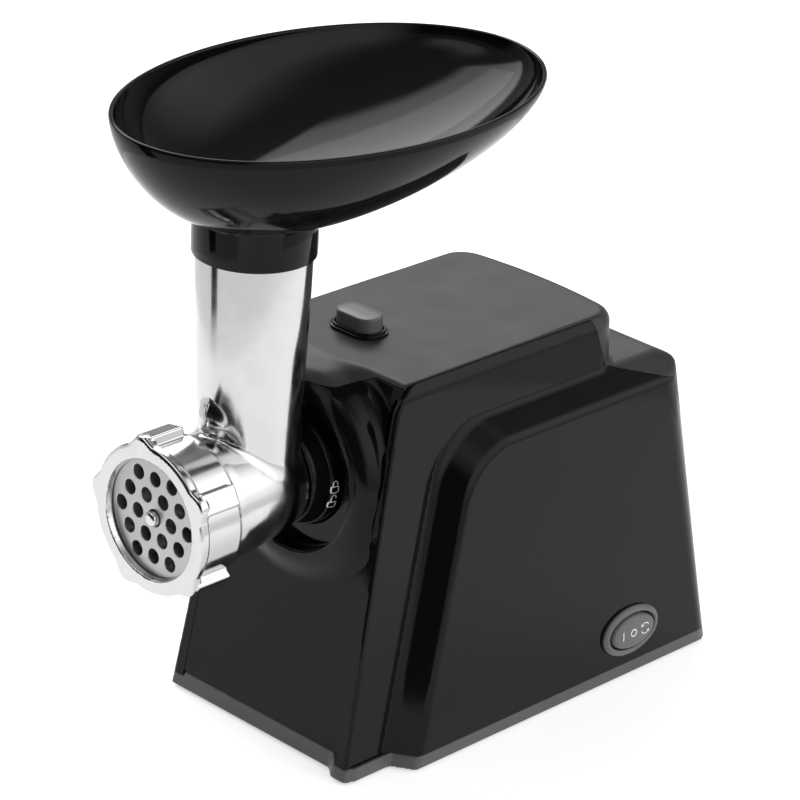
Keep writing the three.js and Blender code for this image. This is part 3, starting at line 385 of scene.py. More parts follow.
def loft(name, rings, loop=False):
    """Joins rings of equal count into one skin; loop joins the last ring to the first."""
    rings = np.asarray(rings, float)
    levels, sides = rings.shape[:2]
    faces = []
    for k in range(levels if loop else levels - 1):
        low, high = k * sides, ((k + 1) % levels) * sides
        for i in range(sides):
            j = (i + 1) % sides
            faces.append((low + i, low + j, high + j, high + i))
    if not loop:
        faces.append(tuple(reversed(range(sides))))
        faces.append(tuple(range((levels - 1) * sides, levels * sides)))
    obj = make_object(name, rings.reshape(-1, 3), faces)
    mesh = bmesh.new()
    mesh.from_mesh(obj.data)
    bmesh.ops.recalc_face_normals(mesh, faces=mesh.faces)
    mesh.to_mesh(obj.data)
    mesh.free()
    obj.data.set_sharp_from_angle(angle=math.radians(35))
    return obj


# ---------- materials ----------


def new_material(name, color, roughness, metallic=0.0, specular=0.5):
    """A material, its Principled shader and a coordinate node in the object's own metres."""
    material = bpy.data.materials.new(name)
    material.use_nodes = True
    nodes = material.node_tree.nodes
    shader = nodes["Principled BSDF"]
    shader.inputs["Base Color"].default_value = (*color, 1)
    shader.inputs["Roughness"].default_value = roughness
    shader.inputs["Metallic"].default_value = metallic
    shader.inputs["Specular IOR Level"].default_value = specular
    place = nodes.new("ShaderNodeTexCoord")
    return material, shader, place


def noise(material, place, scale, detail=4.0, stretch=(1, 1, 1)):
    """A noise texture's output in object space, stretched along the axes."""
    tree = material.node_tree
    mapping = tree.nodes.new("ShaderNodeMapping")
    mapping.inputs["Scale"].default_value = stretch
    texture = tree.nodes.new("ShaderNodeTexNoise")
    texture.inputs["Scale"].default_value = scale
    texture.inputs["Detail"].default_value = detail
    tree.links.new(place.outputs["Object"], mapping.inputs["Vector"])
    tree.links.new(mapping.outputs["Vector"], texture.inputs["Vector"])
    return texture.outputs["Fac"]


def spread(material, source, low, high, socket):
    """Maps a noise onto a range and feeds it to a socket."""
    tree = material.node_tree
    ramp = tree.nodes.new("ShaderNodeMapRange")
    ramp.inputs["From Min"].default_value = 0.3
    ramp.inputs["From Max"].default_value = 0.7
    ramp.inputs["To Min"].default_value = low
    ramp.inputs["To Max"].default_value = high
    tree.links.new(source, ramp.inputs["Value"])
    tree.links.new(ramp.outputs["Result"], socket)


def tint(material, shader, source, dark, light):
    """Lets the colour vary between two shades."""
    tree = material.node_tree
    ramp = tree.nodes.new("ShaderNodeValToRGB")
    ramp.color_ramp.elements[0].position = 0.3
    ramp.color_ramp.elements[0].color = (*dark, 1)
    ramp.color_ramp.elements[1].position = 0.7
    ramp.color_ramp.elements[1].color = (*light, 1)
    tree.links.new(source, ramp.inputs["Fac"])
    tree.links.new(ramp.outputs["Color"], shader.inputs["Base Color"])


def relief(material, shader, source, strength, distance):
    tree = material.node_tree
    bump = tree.nodes.new("ShaderNodeBump")
    bump.inputs["Strength"].default_value = strength
    bump.inputs["Distance"].default_value = distance
    tree.links.new(source, bump.inputs["Height"])
    tree.links.new(bump.outputs["Normal"], shader.inputs["Normal"])


def shades(color, change):
    return tuple(c * (1 - change) for c in color), tuple(c * (1 + change) for c in color)


def polymer(name, color, rough, grain, strength, depth, specular=0.5):
    """Moulded plastic or rubber: rough is the range of roughness, grain the texture's scale."""
    material, shader, place = new_material(name, color, rough[0], 0, specular)
    tint(material, shader, noise(material, place, 35), *shades(color, 0.12))
    spread(material, noise(material, place, 60, 6), *rough, shader.inputs["Roughness"])
    relief(material, shader, noise(material, place, grain, 3), strength, depth)
    return material


def metal(name, color, rough, grain, strength, depth, stretch=(1, 1, 1), change=0.05):
    """Bare metal: grain and stretch set the marks that casting, grinding or brushing left."""
    material, shader, place = new_material(name, color, rough[0], 1.0)
    tint(material, shader, noise(material, place, 40), *shades(color, change))
    marks = noise(material, place, grain, 6, stretch)
    spread(material, marks, *rough, shader.inputs["Roughness"])
    relief(material, shader, marks, strength, depth)
    return material


GLOSS = polymer("gloss_black", (0.0042, 0.0036, 0.0046), (0.05, 0.10), 90, 0.03, 0.0003, 0.15)
SATIN = polymer("satin_black", (0.030, 0.030, 0.032), (0.34, 0.42), 2600, 0.25, 0.00006, 0.23)
BASE = polymer("base_grey", (0.060, 0.059, 0.062), (0.36, 0.46), 2200, 0.25, 0.00006)
CONTROL = polymer("control_grey", (0.085, 0.085, 0.09), (0.30, 0.40), 2400, 0.2, 0.00005)
RUBBER = polymer("rubber_black", (0.016, 0.016, 0.017), (0.5, 0.7), 1800, 0.4, 0.00008)
NYLON = polymer("nylon_white", (0.70, 0.68, 0.60), (0.45, 0.6), 1500, 0.2, 0.00005)
CARBON = polymer("carbon", (0.03, 0.03, 0.03), (0.5, 0.7), 3000, 0.4, 0.00006)
PRINT = polymer("white_print", (0.78, 0.78, 0.78), (0.4, 0.5), 4000, 0.1, 0.00002)
CAST = metal("cast_aluminium", (0.60, 0.595, 0.60), (0.10, 0.19), 70, 0.08, 0.0003, change=0.03)
PLATE_STEEL = metal("satin_steel", (0.46, 0.46, 0.47), (0.30, 0.42), 900, 0.2, 0.00005, (1, 1, 6))
STEEL = metal("steel", (0.50, 0.50, 0.51), (0.25, 0.4), 600, 0.15, 0.00006, (1, 5, 1))
LAMINATION = metal("lamination_steel", (0.2, 0.2, 0.21), (0.4, 0.6), 120, 0.6, 0.0003,
                   (0.1, 14, 0.1))
BRASS = metal("brass", (0.62, 0.47, 0.20), (0.22, 0.35), 500, 0.15, 0.00006, (1, 6, 1))
COPPER = metal("copper", (0.60, 0.25, 0.12), (0.25, 0.4), 160, 0.7, 0.0003, (0.2, 10, 1))

SLOT_MATERIALS = {
    "gloss_black": GLOSS, "satin_black": SATIN, "base_grey": BASE, "control_grey": CONTROL,
    "rubber_black": RUBBER, "cast_aluminium": CAST, "satin_steel": PLATE_STEEL, "steel": STEEL,
    "lamination_steel": LAMINATION, "brass": BRASS, "copper": COPPER, "nylon_white": NYLON,
    "carbon": CARBON,
}


def finish_cad_nodes():
    """Every CAD node gets the procedural material of its own slot."""
    for part in frame["record"]["subparts"]:
        obj = frame["nodes"][part["node"]]
        obj.data.materials.clear()
        obj.data.materials.append(SLOT_MATERIALS[part["material_slot"]])


# ---------- housing ----------
CHEEK_STEP, CORE_STEP, FRONT_STEP = 1.6, 1.8, 1.1
# the seam between a side panel and the cover: distance back, z
REAR_SEAM = [(326, SEAM_Z), (305, 128), (290.5, 160.5), (253, 172), (247, 187), (241, 206)]


def behind_seam(y, z):
    """How far a place lies behind the seam between a cheek and the cover."""
    limit = np.interp(z, [p[1] for p in REAR_SEAM], [back(p[0]) for p in REAR_SEAM])
    return y - limit


def seam_planes(offset):
    """The planes of the rear seam, moved back by an offset."""
    planes = []
    for (b0, z0), (b1, z1) in zip(REAR_SEAM, REAR_SEAM[1:]):
        normal = Vector((0, z1 - z0, b0 - b1)).normalized()
        planes.append((Vector((0, back(b0), z0)) + normal * offset, normal))
    return planes


def edge_plane(side, offset):
    """The plane of a cheek's inner edge, moved outwards by an offset."""
    normal = Vector((side, 0, EDGE_LEAN)).normalized()
    point = Vector((side * float(edge_x(AXIS_Z)), 0, AXIS_Z)) + normal * offset
    return point, normal


def level(z):
    return (0, 0, z), (0, 0, 1)


def in_cheek(x, y, z, grow):
    outside = np.abs(x) > edge_x(z) - grow
    return outside & (behind_seam(y, z) < grow)


def in_switch(y, z):
    return ((y - back(SWITCH_BACK)) / 19.2) ** 2 + ((z - SWITCH_Z) / 11.6) ** 2 < 1


def make_cheek(side):
    """A side panel: glossy skin with a bevelled raised field; the right one has a lip in front."""
    lip = LIP if side > 0 else 0

    def field(x, y, z):
        return cheek(x, y, z, lip)

    span = sorted((side * 50.0, side * BOX_HALF))
    low = (span[0], back(66), SEAM_Z - 3)
    high = (span[1], back(REAR + 4), TOP_Z + 3)
    points, faces = surface(field, low, high, CHEEK_STEP)
    planes = [level(SEAM_Z + SEAM), *seam_planes(-SEAM), edge_plane(side, SEAM)]

    def keep(x, y, z):
        good = (z > SEAM_Z + SEAM) & (behind_seam(y, z) < -SEAM)
        good &= np.abs(x) > edge_x(z) + SEAM
        return good & ~(in_switch(y, z) if side > 0 else False)

    points, faces = trim(points, faces, planes, keep)
    in_front = points[:, 1] < back(front_at(points[:, 2]) + 3)
    wall = np.where(in_front & (lip > 0), LIP_WALL, SKIN)
    word = "right" if side > 0 else "left"
    obj = shell("cheek_" + word, field, points, faces, wall)
    return put(obj, "housing", GLOSS, "gloss_black", "side_panel_" + word)


def button_distance(x, y, grow):
    """Below 0 inside the button's rounded outline, grown all round."""
    r = BUTTON["corner"] + grow
    dx = np.abs(x - BUTTON["x"]) - (BUTTON["length"] / 2 + grow - r)
    dy = np.abs(y - back(BUTTON["back"])) - (BUTTON["width"] / 2 + grow - r)
    return np.hypot(np.maximum(dx, 0), np.maximum(dy, 0)) + np.minimum(np.maximum(dx, dy), 0) - r


EAVE_STEP, EAVE_RISE, EAVE_MOST = 24.0, 0.4, 4.6  # half width of the low part, slope, rise


def eave_at(x):
    """Where the cover ends in front: low on the hood, close under the top beside it."""
    return EAVE_Z + np.clip((np.abs(x) - EAVE_STEP) * EAVE_RISE, 0, EAVE_MOST)


def eave_planes(offset):
    """The planes of that edge, moved up by an offset."""
    z = EAVE_Z + offset
    slopes = [((side * EAVE_STEP, 0, z), (-side * EAVE_RISE, 0, 1)) for side in (1, -1)]
    return [level(z), level(z + EAVE_MOST), *slopes]


def make_cover():
    """Top, hood, ledge and rear wall in one satin moulding."""
    low = (-BOX_HALF, back(84), SEAM_Z - 3)
    high = (BOX_HALF, back(REAR + 4), TOP_Z + 4)
    points, faces = surface(core, low, high, CORE_STEP)
    planes = [level(SEAM_Z + SEAM), *eave_planes(SEAM), *seam_planes(SEAM)]
    planes += [edge_plane(1, -SEAM), edge_plane(-1, -SEAM)]

    def keep(x, y, z):
        front = (y < back(200)) & (z < eave_at(x) + SEAM)
        button = (z > TOP_Z - 3) & (button_distance(x, y, 1.2) < 0)
        hole = np.hypot(x - INLET["x"], z - INLET["z"]) < INLET["r"] + 0.6
        inlet = (y > back(300)) & hole
        return (z > SEAM_Z + SEAM) & ~front & ~in_cheek(x, y, z, SEAM) & ~button & ~inlet

    points, faces = trim(points, faces, planes, keep)
    obj = shell("cover", core, points, faces, SKIN)
    return put(obj, "housing", SATIN, "satin_black", "top_rear_cover")


LOCK_BLOCK = [(31, 16), (32, 35), (40, 35), (48.5, 31), (46, 15)]  # x, height above the axis


def lock_block(x, y, z):
    """The stop block at the upper right of the socket."""
    sides = []
    for (x0, z0), (x1, z1) in zip(LOCK_BLOCK, LOCK_BLOCK[1:] + LOCK_BLOCK[:1]):
        sides.append(plane(x, y, z - AXIS_Z, (z0 - z1, 0, x1 - x0), (x0, 0, z0)))
    within = np.hypot(x, z - AXIS_Z) - RECESS_R - 0.8
    return meet(1.0, *sides, within, back(RECESS_FRONT + 3) - y)


def front_field(x, y, z):
    """The front panel: leaning face, hood, round recess with its floor and stop block."""
    around = np.hypot(x, z - AXIS_Z)
    cup = meet(0.6, around - RECESS_R, y - back(RECESS_BACK))
    throat = around - COLLAR_R - 0.6
    body = meet(1.0, core(x, y, z), -blend(0.5, cup, throat))
    return blend(0.8, body, lock_block(x, y, z))


def make_front():
    low = (-61, back(70), FRONT_SEAM_Z - 3)
    high = (61, back(118), TOP_Z + 1)
    points, faces = surface(front_field, low, high, FRONT_STEP)
    planes = [level(FRONT_SEAM_Z + SEAM), *eave_planes(-SEAM)]
    planes += [edge_plane(1, -SEAM), edge_plane(-1, -SEAM)]

    def keep(x, y, z):
        inside = np.abs(x) < edge_x(z) - SEAM
        deep = y > back(RECESS_BACK + 10)
        socket = np.hypot(x, z - AXIS_Z) < RECESS_R + 3
        return inside & (z > FRONT_SEAM_Z + SEAM) & (z < eave_at(x) - SEAM) & ~(deep & socket)

    points, faces = trim(points, faces, planes, keep)
    obj = shell("front", front_field, points, faces, FRONT_SKIN)
    return put(obj, "housing", GLOSS, "gloss_black", "front_panel")


def base_field(x, y, z):
    """The base: a strip round the foot, higher in front, with a floor inside."""
    block = raised_block(x, y, z, 3.0, front_plane(y, z, 0))
    lip = meet(4.5, raised_block(x, y, z, 3.0, front_plane(y, z, LIP)), 55.0 - x)
    outer = blend(1.6, blend(7.0, block, lip), wide_body(x, y, z))
    foot = np.maximum(np.abs(x) - 58.0, y - back(FRONT_FOOT + 10))
    top = np.minimum(z - SEAM_Z, np.maximum(foot, z - FRONT_SEAM_Z))
    strip = meet(0.5, outer, top, SKIRT_Z - z)
    above = np.maximum(outer + SHELL, FLOOR_Z + SHELL - z)
    below = np.maximum(outer + SHELL, z - FLOOR_Z)
    return np.maximum(strip, -np.minimum(above, below))


def make_base():
    low = (-BOX_HALF, back(66), -1)
    high = (BOX_HALF, back(REAR + 5), FRONT_SEAM_Z + 2)
    obj = solid_from("base", base_field, low, high, 1.3)
    return put(obj, "housing", BASE, "base_grey", "base_tray")


# ---------- turned pieces ----------


def turned(name, profile, axis, centre, sides=96):
    """A closed profile of (radius, place along the axis) turned about Y or Z."""
    turns = full_turn(sides)
    rings = []
    for radius, place in profile:
        c, s = radius * np.cos(turns), radius * np.sin(turns)
        along = np.full(sides, place)
        if axis == "y":
            rings.append(np.stack([centre[0] + c, along, centre[1] + s], 1))
        else:
            rings.append(np.stack([centre[0] + c, centre[1] + s, along], 1))
    return loft(name, rings, loop=True)


def rounded(corners, r, steps=4):
    """A closed profile whose corners are rounded to radius r, or less on short sides."""
    out = []
    count = len(corners)
    for i in range(count):
        a, b, c = (np.array(corners[(i + k - 1) % count], float) for k in range(3))
        to_a, to_c = a - b, c - b
        la, lc = np.linalg.norm(to_a), np.linalg.norm(to_c)
        cut = min(r, la * 0.45, lc * 0.45)
        start, end = b + to_a / la * cut, b + to_c / lc * cut
        for t in np.linspace(0, 1, steps + 1):
            out.append(tuple((1 - t) ** 2 * start + 2 * t * (1 - t) * b + t * t * end))
    return out


def make_collar():
    """The socket's black collar, with a step for its seam line."""
    inner = PLUG_R + 0.5
    profile = rounded([
        (inner, back(80)), (inner + 1.6, back(80)), (26.8, back(84)), (28.2, back(89.2)),
        (28.6, back(89.9)), (29.3, back(90.1)), (COLLAR_R, back(95.6)), (COLLAR_R, back(99.4)),
        (inner, back(99.4)),
    ], 0.7)
    obj = turned("collar", profile, "y", (0, AXIS_Z), 120)
    return put(obj, "housing", GLOSS, "gloss_black", "lock_collar")


def make_feet():
    for i in range(1, 5):
        x, y, _ = sum(low_high(f"foot_{i}")) / 2
        profile = rounded([(0.01, 0), (8, 0), (9.5, 1.6), (9.5, 3.7), (0.01, 3.7)], 0.6)
        obj = turned(f"foot_pad_{i}", profile, "z", (x, y), 64)
        put(obj, "housing", RUBBER, "rubber_black", f"foot_{i}")


def make_inlet():
    """The grommet of the cord inlet in the rear wall."""
    (_, y0, _), (_, y1, _) = low_high("cord_inlet")
    r = INLET["r"]
    profile = rounded([(4, y0), (10.5, y0), (10.5, y0 + 4), (r, y0 + 4), (r, y1 - 2.6),
                       (10.5, y1 - 2.6), (9.6, y1), (4, y1)], 0.7)
    obj = turned("inlet_grommet", profile, "y", (INLET["x"], INLET["z"]), 64)
    return put(obj, "housing", RUBBER, "rubber_black", "cord_inlet")


# ---------- grinding head ----------
BARREL_PROFILE = [(0, 33.4), (24, 33.4), (30, 33.2), (45, 31.6), (58, 29.9), (68, 28.2),
                  (74, 26.6), (78.2, 25.3), (78.8, 24.0), (111, 24.0)]  # distance back, radius


def smooth_table(pairs, width):
    """A profile's corners eased over a width, as two lists for interpolation."""
    place = np.array([p[0] for p in pairs], float)
    radius = np.array([p[1] for p in pairs], float)
    fine = np.arange(place[0], place[-1], 0.25)
    value = np.interp(fine, place, radius)
    size = max(int(width / 0.25), 1)
    padded = np.pad(value, size, mode="edge")
    eased = np.convolve(padded, np.ones(2 * size + 1) / (2 * size + 1), "valid")
    return fine, eased


BARREL = smooth_table(BARREL_PROFILE, 1.0)
TUBE = smooth_table([(0, 25.0), (30, 25.5), (97, 27.6), (126.4, 28.5)], 2.0)


def head_outer(x, y, z):
    """Barrel and feed tube with the fillet between them, and the cast boss at the tube's foot."""
    around = np.hypot(x, z - AXIS_Z)
    barrel = np.maximum(around - np.interp(y - FACE_Y, *BARREL), back(1.5) - y)
    barrel = np.maximum(barrel, y - back(110))
    height = z - AXIS_Z
    tube = np.hypot(x, y - back(TUBE_BACK)) - np.interp(height, *TUBE)
    tube = np.maximum(np.maximum(tube, -height), height - 126.4)
    collar_room = np.maximum(around - COLLAR_R - 0.8, back(79.4) - y)
    tube = np.maximum(tube, -collar_room)
    boss = (np.sqrt((x / 10) ** 2 + ((y - back(38)) / 7) ** 2 + ((height - 41) / 12) ** 2) - 1) * 6
    boss = blend(0.6, boss, meet(0.3, np.abs(x) - 0.45, np.abs(height - 46) - 6, boss - 0.5))
    tube = blend(1.0, tube, boss)
    return blend(2.6, barrel, tube)


def head_field(x, y, z):
    around = np.hypot(x, z - AXIS_Z)
    pairs = [(-5, 31.3), (5.2, 31.3), (5.3, 27), (58, 27), (76, 21), (84, 11), (120, 11)]
    bore = around - np.interp(y - FACE_Y, [p[0] for p in pairs], [p[1] for p in pairs])
    height = z - AXIS_Z
    throat = np.hypot(x, y - back(TUBE_BACK)) - (22 + 2.5 * height / 131)
    throat = np.maximum(throat, -height)
    return meet(0.8, head_outer(x, y, z), -np.minimum(bore, throat))


def make_head():
    low = (-36, back(-1), AXIS_Z - 36)
    high = (36, back(113), AXIS_Z + 129)
    obj = solid_from("head_casting", head_field, low, high, 1.2)
    return put(obj, "head", CAST, "cast_aluminium", "grinder_head")


LUGS, LUG_FIRST, LUG_HALF, LUG_REACH = 5, 29.0, 5.4, 41.6


def nut_field(x, y, z):
    """The ring nut: sleeve, rounded flange with lobes, and five blocky lugs."""
    around = np.hypot(x, z - AXIS_Z)
    turn = np.arctan2(z - AXIS_Z, x) - math.radians(LUG_FIRST)
    step = 2 * math.pi / LUGS
    local = (turn + step / 2) % step - step / 2
    u, v = around * np.cos(local), around * np.sin(local)
    sleeve = meet(1.2, around - NUT_R, back(-1) - y, y - back(23))
    tail = meet(0.5, around - NUT_R + 0.9, y - back(24.2), back(20) - y)
    block = meet(0.9, np.abs(v) - LUG_HALF, u - LUG_REACH + 0.5, y - back(20), back(-1) - y, 30 - u)
    lobe = np.hypot(u - 35.2, v) - 6.6
    flange = blend(3.0, around - NUT_R - 1.5, lobe)
    flange = meet(1.8, flange, back(-4) - y, y - back(1.8))
    body = blend(0.5, np.minimum(sleeve, tail), block)
    body = blend(0.5, body, flange)
    bore = np.maximum(around - NUT_BORE_R, back(-0.3) - y)
    opening = around - NUT_OPENING_R - 0.4 * np.clip((back(-1.2) - y), 0, 2)
    return meet(0.7, body, -bore, -opening)


def make_nut():
    low = (-44, back(-5), AXIS_Z - 44)
    high = (44, back(27), AXIS_Z + 44)
    obj = solid_from("clamp_ring", nut_field, low, high, 0.8)
    return put(obj, "nut", CAST, "cast_aluminium", "ring_nut")


def flat_mesh(name, outer, holes, depth, bevel):
    """A flat plate with round holes and fine bevels, its face up; circles are (x, y, radius)."""
    curve = bpy.data.curves.new(name, "CURVE")
    curve.dimensions = "2D"
    curve.fill_mode = "BOTH"
    curve.resolution_u = 16
    curve.extrude = (depth / 2 - bevel) * MM
    curve.bevel_depth = bevel * MM
    curve.bevel_resolution = 2
    curve.offset = -bevel * MM
    for x, y, r in [outer, *holes]:
        spline = curve.splines.new("BEZIER")
        spline.bezier_points.add(3)
        spline.use_cyclic_u = True
        arm = r * 0.5523
        for point, (cx, cy) in zip(spline.bezier_points, [(1, 0), (0, 1), (-1, 0), (0, -1)]):
            point.co = ((x + cx * r) * MM, (y + cy * r) * MM, 0)
            point.handle_left = ((x + cx * r + cy * arm) * MM, (y + cy * r - cx * arm) * MM, 0)
            point.handle_right = ((x + cx * r - cy * arm) * MM, (y + cy * r + cx * arm) * MM, 0)
    temporary = link(name, curve)
    graph = bpy.context.evaluated_depsgraph_get()
    mesh = bpy.data.meshes.new_from_object(temporary.evaluated_get(graph))
    bpy.data.objects.remove(temporary)
    for polygon in mesh.polygons:
        polygon.use_smooth = True
    mesh.set_sharp_from_angle(angle=math.radians(30))
    return link(name, mesh)


def make_plate():
    """The perforated plate: a ring of six holes, a ring of twelve, and one for the auger's pin."""
    holes = [(0, 0, 4.4)]
    for ring in (1, 2):
        for i in range(6 * ring):
            corner, along = math.radians(60 * (i // ring)), (i % ring) / ring
            reach = PLATE_PITCH * ring
            x = reach * ((1 - along) * math.cos(corner) + along * math.cos(corner + math.pi / 3))
            z = reach * ((1 - along) * math.sin(corner) + along * math.sin(corner + math.pi / 3))
            holes.append((x, z, PLATE_HOLE_R))
    obj = flat_mesh("grinding_plate", (0, 0, PLATE_R), holes, 5.0, 0.35)
    turn = Matrix.Rotation(math.radians(90), 4, "X")
    obj.data.transform(Matrix.Translation((0, back(2.5) * MM, AXIS_Z * MM)) @ turn)
    return put(obj, "plate", PLATE_STEEL, "satin_steel", "cutting_plate")


def auger_field(x, y, z):
    """A screw of two and a half turns on a core, with its drive end and domed front pin."""
    around = np.hypot(x, z - AXIS_Z)
    place = y - FACE_Y
    angle = np.arctan2(z - AXIS_Z, x)
    turns = 2.5 * (74 - place) / 61
    # the same hand as the frame's own auger, which turns from X towards -Z going back
    local = (angle - 2 * math.pi * turns + math.pi) % (2 * math.pi) - math.pi
    reach = 25.7 - np.maximum(place - 57, 0) * 0.42
    flight = meet(1.0, around - reach, (np.abs(local) - 0.36) * np.maximum(around, 4) * 0.45)
    flight = meet(0.8, flight, 13.2 - place, place - 73.8)
    core_r = np.interp(place, [11, 13, 82, 84, 109], [9, 10.2, 10.2, 8.9, 8.9])
    shaft = meet(0.8, around - core_r, 11.2 - place, place - 108.8)
    square = meet(0.8, np.abs(x) - 5, np.abs(z - AXIS_Z) - 5, 5.8 - place, place - 13)
    pin = meet(1.8, around - 3.9, -3.5 - place, place - 9)
    socket = np.maximum(around - 5.2, 92 - place)
    return np.maximum(np.minimum(blend(2.5, flight, shaft, square), pin), -socket)


def make_auger():
    low = (-27, back(-5), AXIS_Z - 27)
    high = (27, back(110), AXIS_Z + 27)
    obj = solid_from("auger_screw", auger_field, low, high, 1.1)
    return put(obj, "output", CAST, "cast_aluminium", "auger")


# ---------- tray ----------


def tray_ring(half_width, half_length, middle, z, sides=128):
    turns = full_turn(sides)
    y = back(middle) + half_length * np.sin(turns)
    return np.stack([half_width * np.cos(turns), y, np.full(sides, z)], 1)


def bowl_ring(share, inset, bottom, top):
    """A ring of the egg-shaped bowl: share 0 at the spigot, 1 at the rim."""
    opening = (1 - (1 - share) ** 1.55) ** (1 / 1.55)
    return tray_ring(
        SPIGOT_R + (RIM_HALF_WIDTH - SPIGOT_R) * opening - inset,
        SPIGOT_R + (RIM_HALF_LENGTH - SPIGOT_R) * opening - inset,
        TUBE_BACK + (RIM_BACK - TUBE_BACK) * opening,
        bottom + (top - bottom) * share,
    )


def make_tray():
    """Feed tray: spigot over the tube, egg-shaped bowl, rounded rim."""
    bowl_z = SPIGOT_Z + 20.3
    shares = np.linspace(0.06, 1, 34) ** 2.0
    edge = TRAY_WALL / 2
    rings = []
    for r, z in [(SPIGOT_R - 0.8, SPIGOT_Z), (SPIGOT_R - 0.2, SPIGOT_Z + 0.3),
                 (SPIGOT_R, SPIGOT_Z + 1.0), (SPIGOT_R, bowl_z - 1.8)]:
        rings.append(tray_ring(r, r, TUBE_BACK, z))
    rings += [bowl_ring(s, 0, bowl_z, RIM_Z - edge) for s in shares]
    for turn in np.linspace(0.2, 0.9, 6) * math.pi:
        inset = edge - edge * math.cos(turn)
        z = RIM_Z - edge + edge * math.sin(turn)
        rings.append(bowl_ring(1, inset, z, z))
    rings += [bowl_ring(s, TRAY_WALL, bowl_z + TRAY_WALL, RIM_Z - edge) for s in shares[::-1]]
    throat = 24.5
    for r, z in [(27.2, bowl_z + 2.4), (25.6, bowl_z + 1.9), (24.8, bowl_z + 0.6),
                 (throat, bowl_z - 1), (throat, SPIGOT_Z + 5.3),
                 (throat + 0.3, SPIGOT_Z + 5.0), (28.5, SPIGOT_Z + 4.9),
                 (28.8, SPIGOT_Z + 4.6), (28.8, SPIGOT_Z + 0.2)]:
        rings.append(tray_ring(r, r, TUBE_BACK, z))
    obj = loft("feed_tray", rings, loop=True)
    return put(obj, "tray", GLOSS, "gloss_black", "tray")


# ---------- controls ----------


def stadium(x, y, length, width, r, z, steps=10):
    """A ring of points round a rectangle with round corners."""
    points = []
    for k, (sx, sy) in enumerate([(1, 1), (-1, 1), (-1, -1), (1, -1)]):
        cx, cy = x + sx * (length / 2 - r), y + sy * (width / 2 - r)
        for turn in np.linspace(k, k + 1, steps) * math.pi / 2:
            points.append((cx + r * math.cos(turn), cy + r * math.sin(turn), z))
    return points


def button_ring(grow, z):
    r = max(BUTTON["corner"] + grow, 0.4)
    return stadium(BUTTON["x"], back(BUTTON["back"]), BUTTON["length"] + 2 * grow,
                   BUTTON["width"] + 2 * grow, r, z)


def make_button():
    """The release button: cap, wedge that works the bolt, and the stepped black bezel."""
    low, high = low_high("release_button")
    seat, top = low[2] + 8.0, high[2]
    foot = seat + 4.4  # room for the spring under the pressed cap
    rings = [button_ring(-0.3, foot), button_ring(0, foot + 0.3), button_ring(0, top - 1.3)]
    for turn in np.linspace(0.15, 1, 6) * math.pi / 2:
        rings.append(button_ring(-1.3 * (1 - math.cos(turn)), top - 1.3 + math.sin(turn)))
    for inset, drop in [(2.6, 0.05), (5.0, 0)]:
        rings.append(button_ring(-inset, top - drop))
    cap = loft("button_cap", rings)
    put(cap, "button", CONTROL, "control_grey", "release_button")
    slope = [(138, foot + 0.5), (138, low[2]), (146.5, seat + 0.5), (146.5, foot + 0.5)]
    sides = [[(BUTTON["x"] + x, back(b), z) for b, z in slope] for x in (-3.5, 3.5)]
    put(loft("button_wedge", sides), "button", CONTROL, "control_grey")
    profile = rounded([(3.0, TOP_Z + 0.2), (3.0, TOP_Z + 1.4), (1.9, TOP_Z + 1.4),
                       (1.9, TOP_Z + 2.8), (0.7, TOP_Z + 2.8), (0.7, TOP_Z + 0.2)], 0.35)
    bezel = loft("button_surround", [button_ring(g, z) for g, z in profile], loop=True)
    put(bezel, "housing", GLOSS, "rubber_black", "button_bezel")


# the switch's axes on the leaning side panel
UP = np.array([-DRAFT, 0, 1]) / math.hypot(1, DRAFT)
OUT = np.array([1, 0, DRAFT]) / math.hypot(1, DRAFT)
SWITCH_PLACE = np.array([lean(PANEL_HALF, SWITCH_Z), back(SWITCH_BACK), SWITCH_Z])


def on_panel(points):
    """Points given as (along Y, up the panel, out of it) from the switch's middle."""
    p = np.asarray(points, float)
    return SWITCH_PLACE + p[:, :1] * np.array([0, 1, 0]) + p[:, 1:2] * UP + p[:, 2:3] * OUT


def oval(half_length, half_width, out, sides=96):
    turns = full_turn(sides)
    return on_panel(np.stack([half_length * np.cos(turns), half_width * np.sin(turns),
                              np.full(sides, out)], 1))


ROCKER_TOP = 4.8


def crown(u):
    """Height of the rocker's slightly crowned face, at a distance along it."""
    return ROCKER_TOP - 0.25 * (u / 12) ** 2


def make_rocker():
    """The oval rocker: steep rounded sides and a nearly flat face."""
    rings = [oval(15.6, 8.9, -3.4), oval(16, 9.2, -3.0), oval(16, 9.2, 1.6)]
    for turn in np.linspace(0.12, 1, 7) * math.pi / 2:
        inset = 2.0 * (1 - math.cos(turn))
        rings.append(oval(16 - inset, 9.2 - inset, 1.6 + 2.55 * math.sin(turn)))
    turns = full_turn(96)
    for share in (0.8, 0.6, 0.4, 0.2, 0.05):
        u, v = 14 * share * np.cos(turns), 7.2 * share * np.sin(turns)
        rise = 1.6 + 2.55 + (crown(u) - 4.15) * (1 - share ** 2)
        rings.append(on_panel(np.stack([u, v, rise], 1)))
    obj = loft("rocker_cap", rings)
    return put(obj, "rocker", CONTROL, "control_grey", "switch_rocker")


def make_switch_surround():
    profile = rounded([(0, 0.1), (0, 1.5), (1.6, 2.8), (3.2, 2.8), (3.7, 2.2), (3.7, -7.8),
                       (2.6, -7.8), (2.6, 0.1)], 0.5)
    rings = [oval(21 - inset, 13.4 - inset, out) for inset, out in profile]
    obj = loft("switch_surround", rings, loop=True)
    return put(obj, "housing", CONTROL, "control_grey", "switch_bezel")


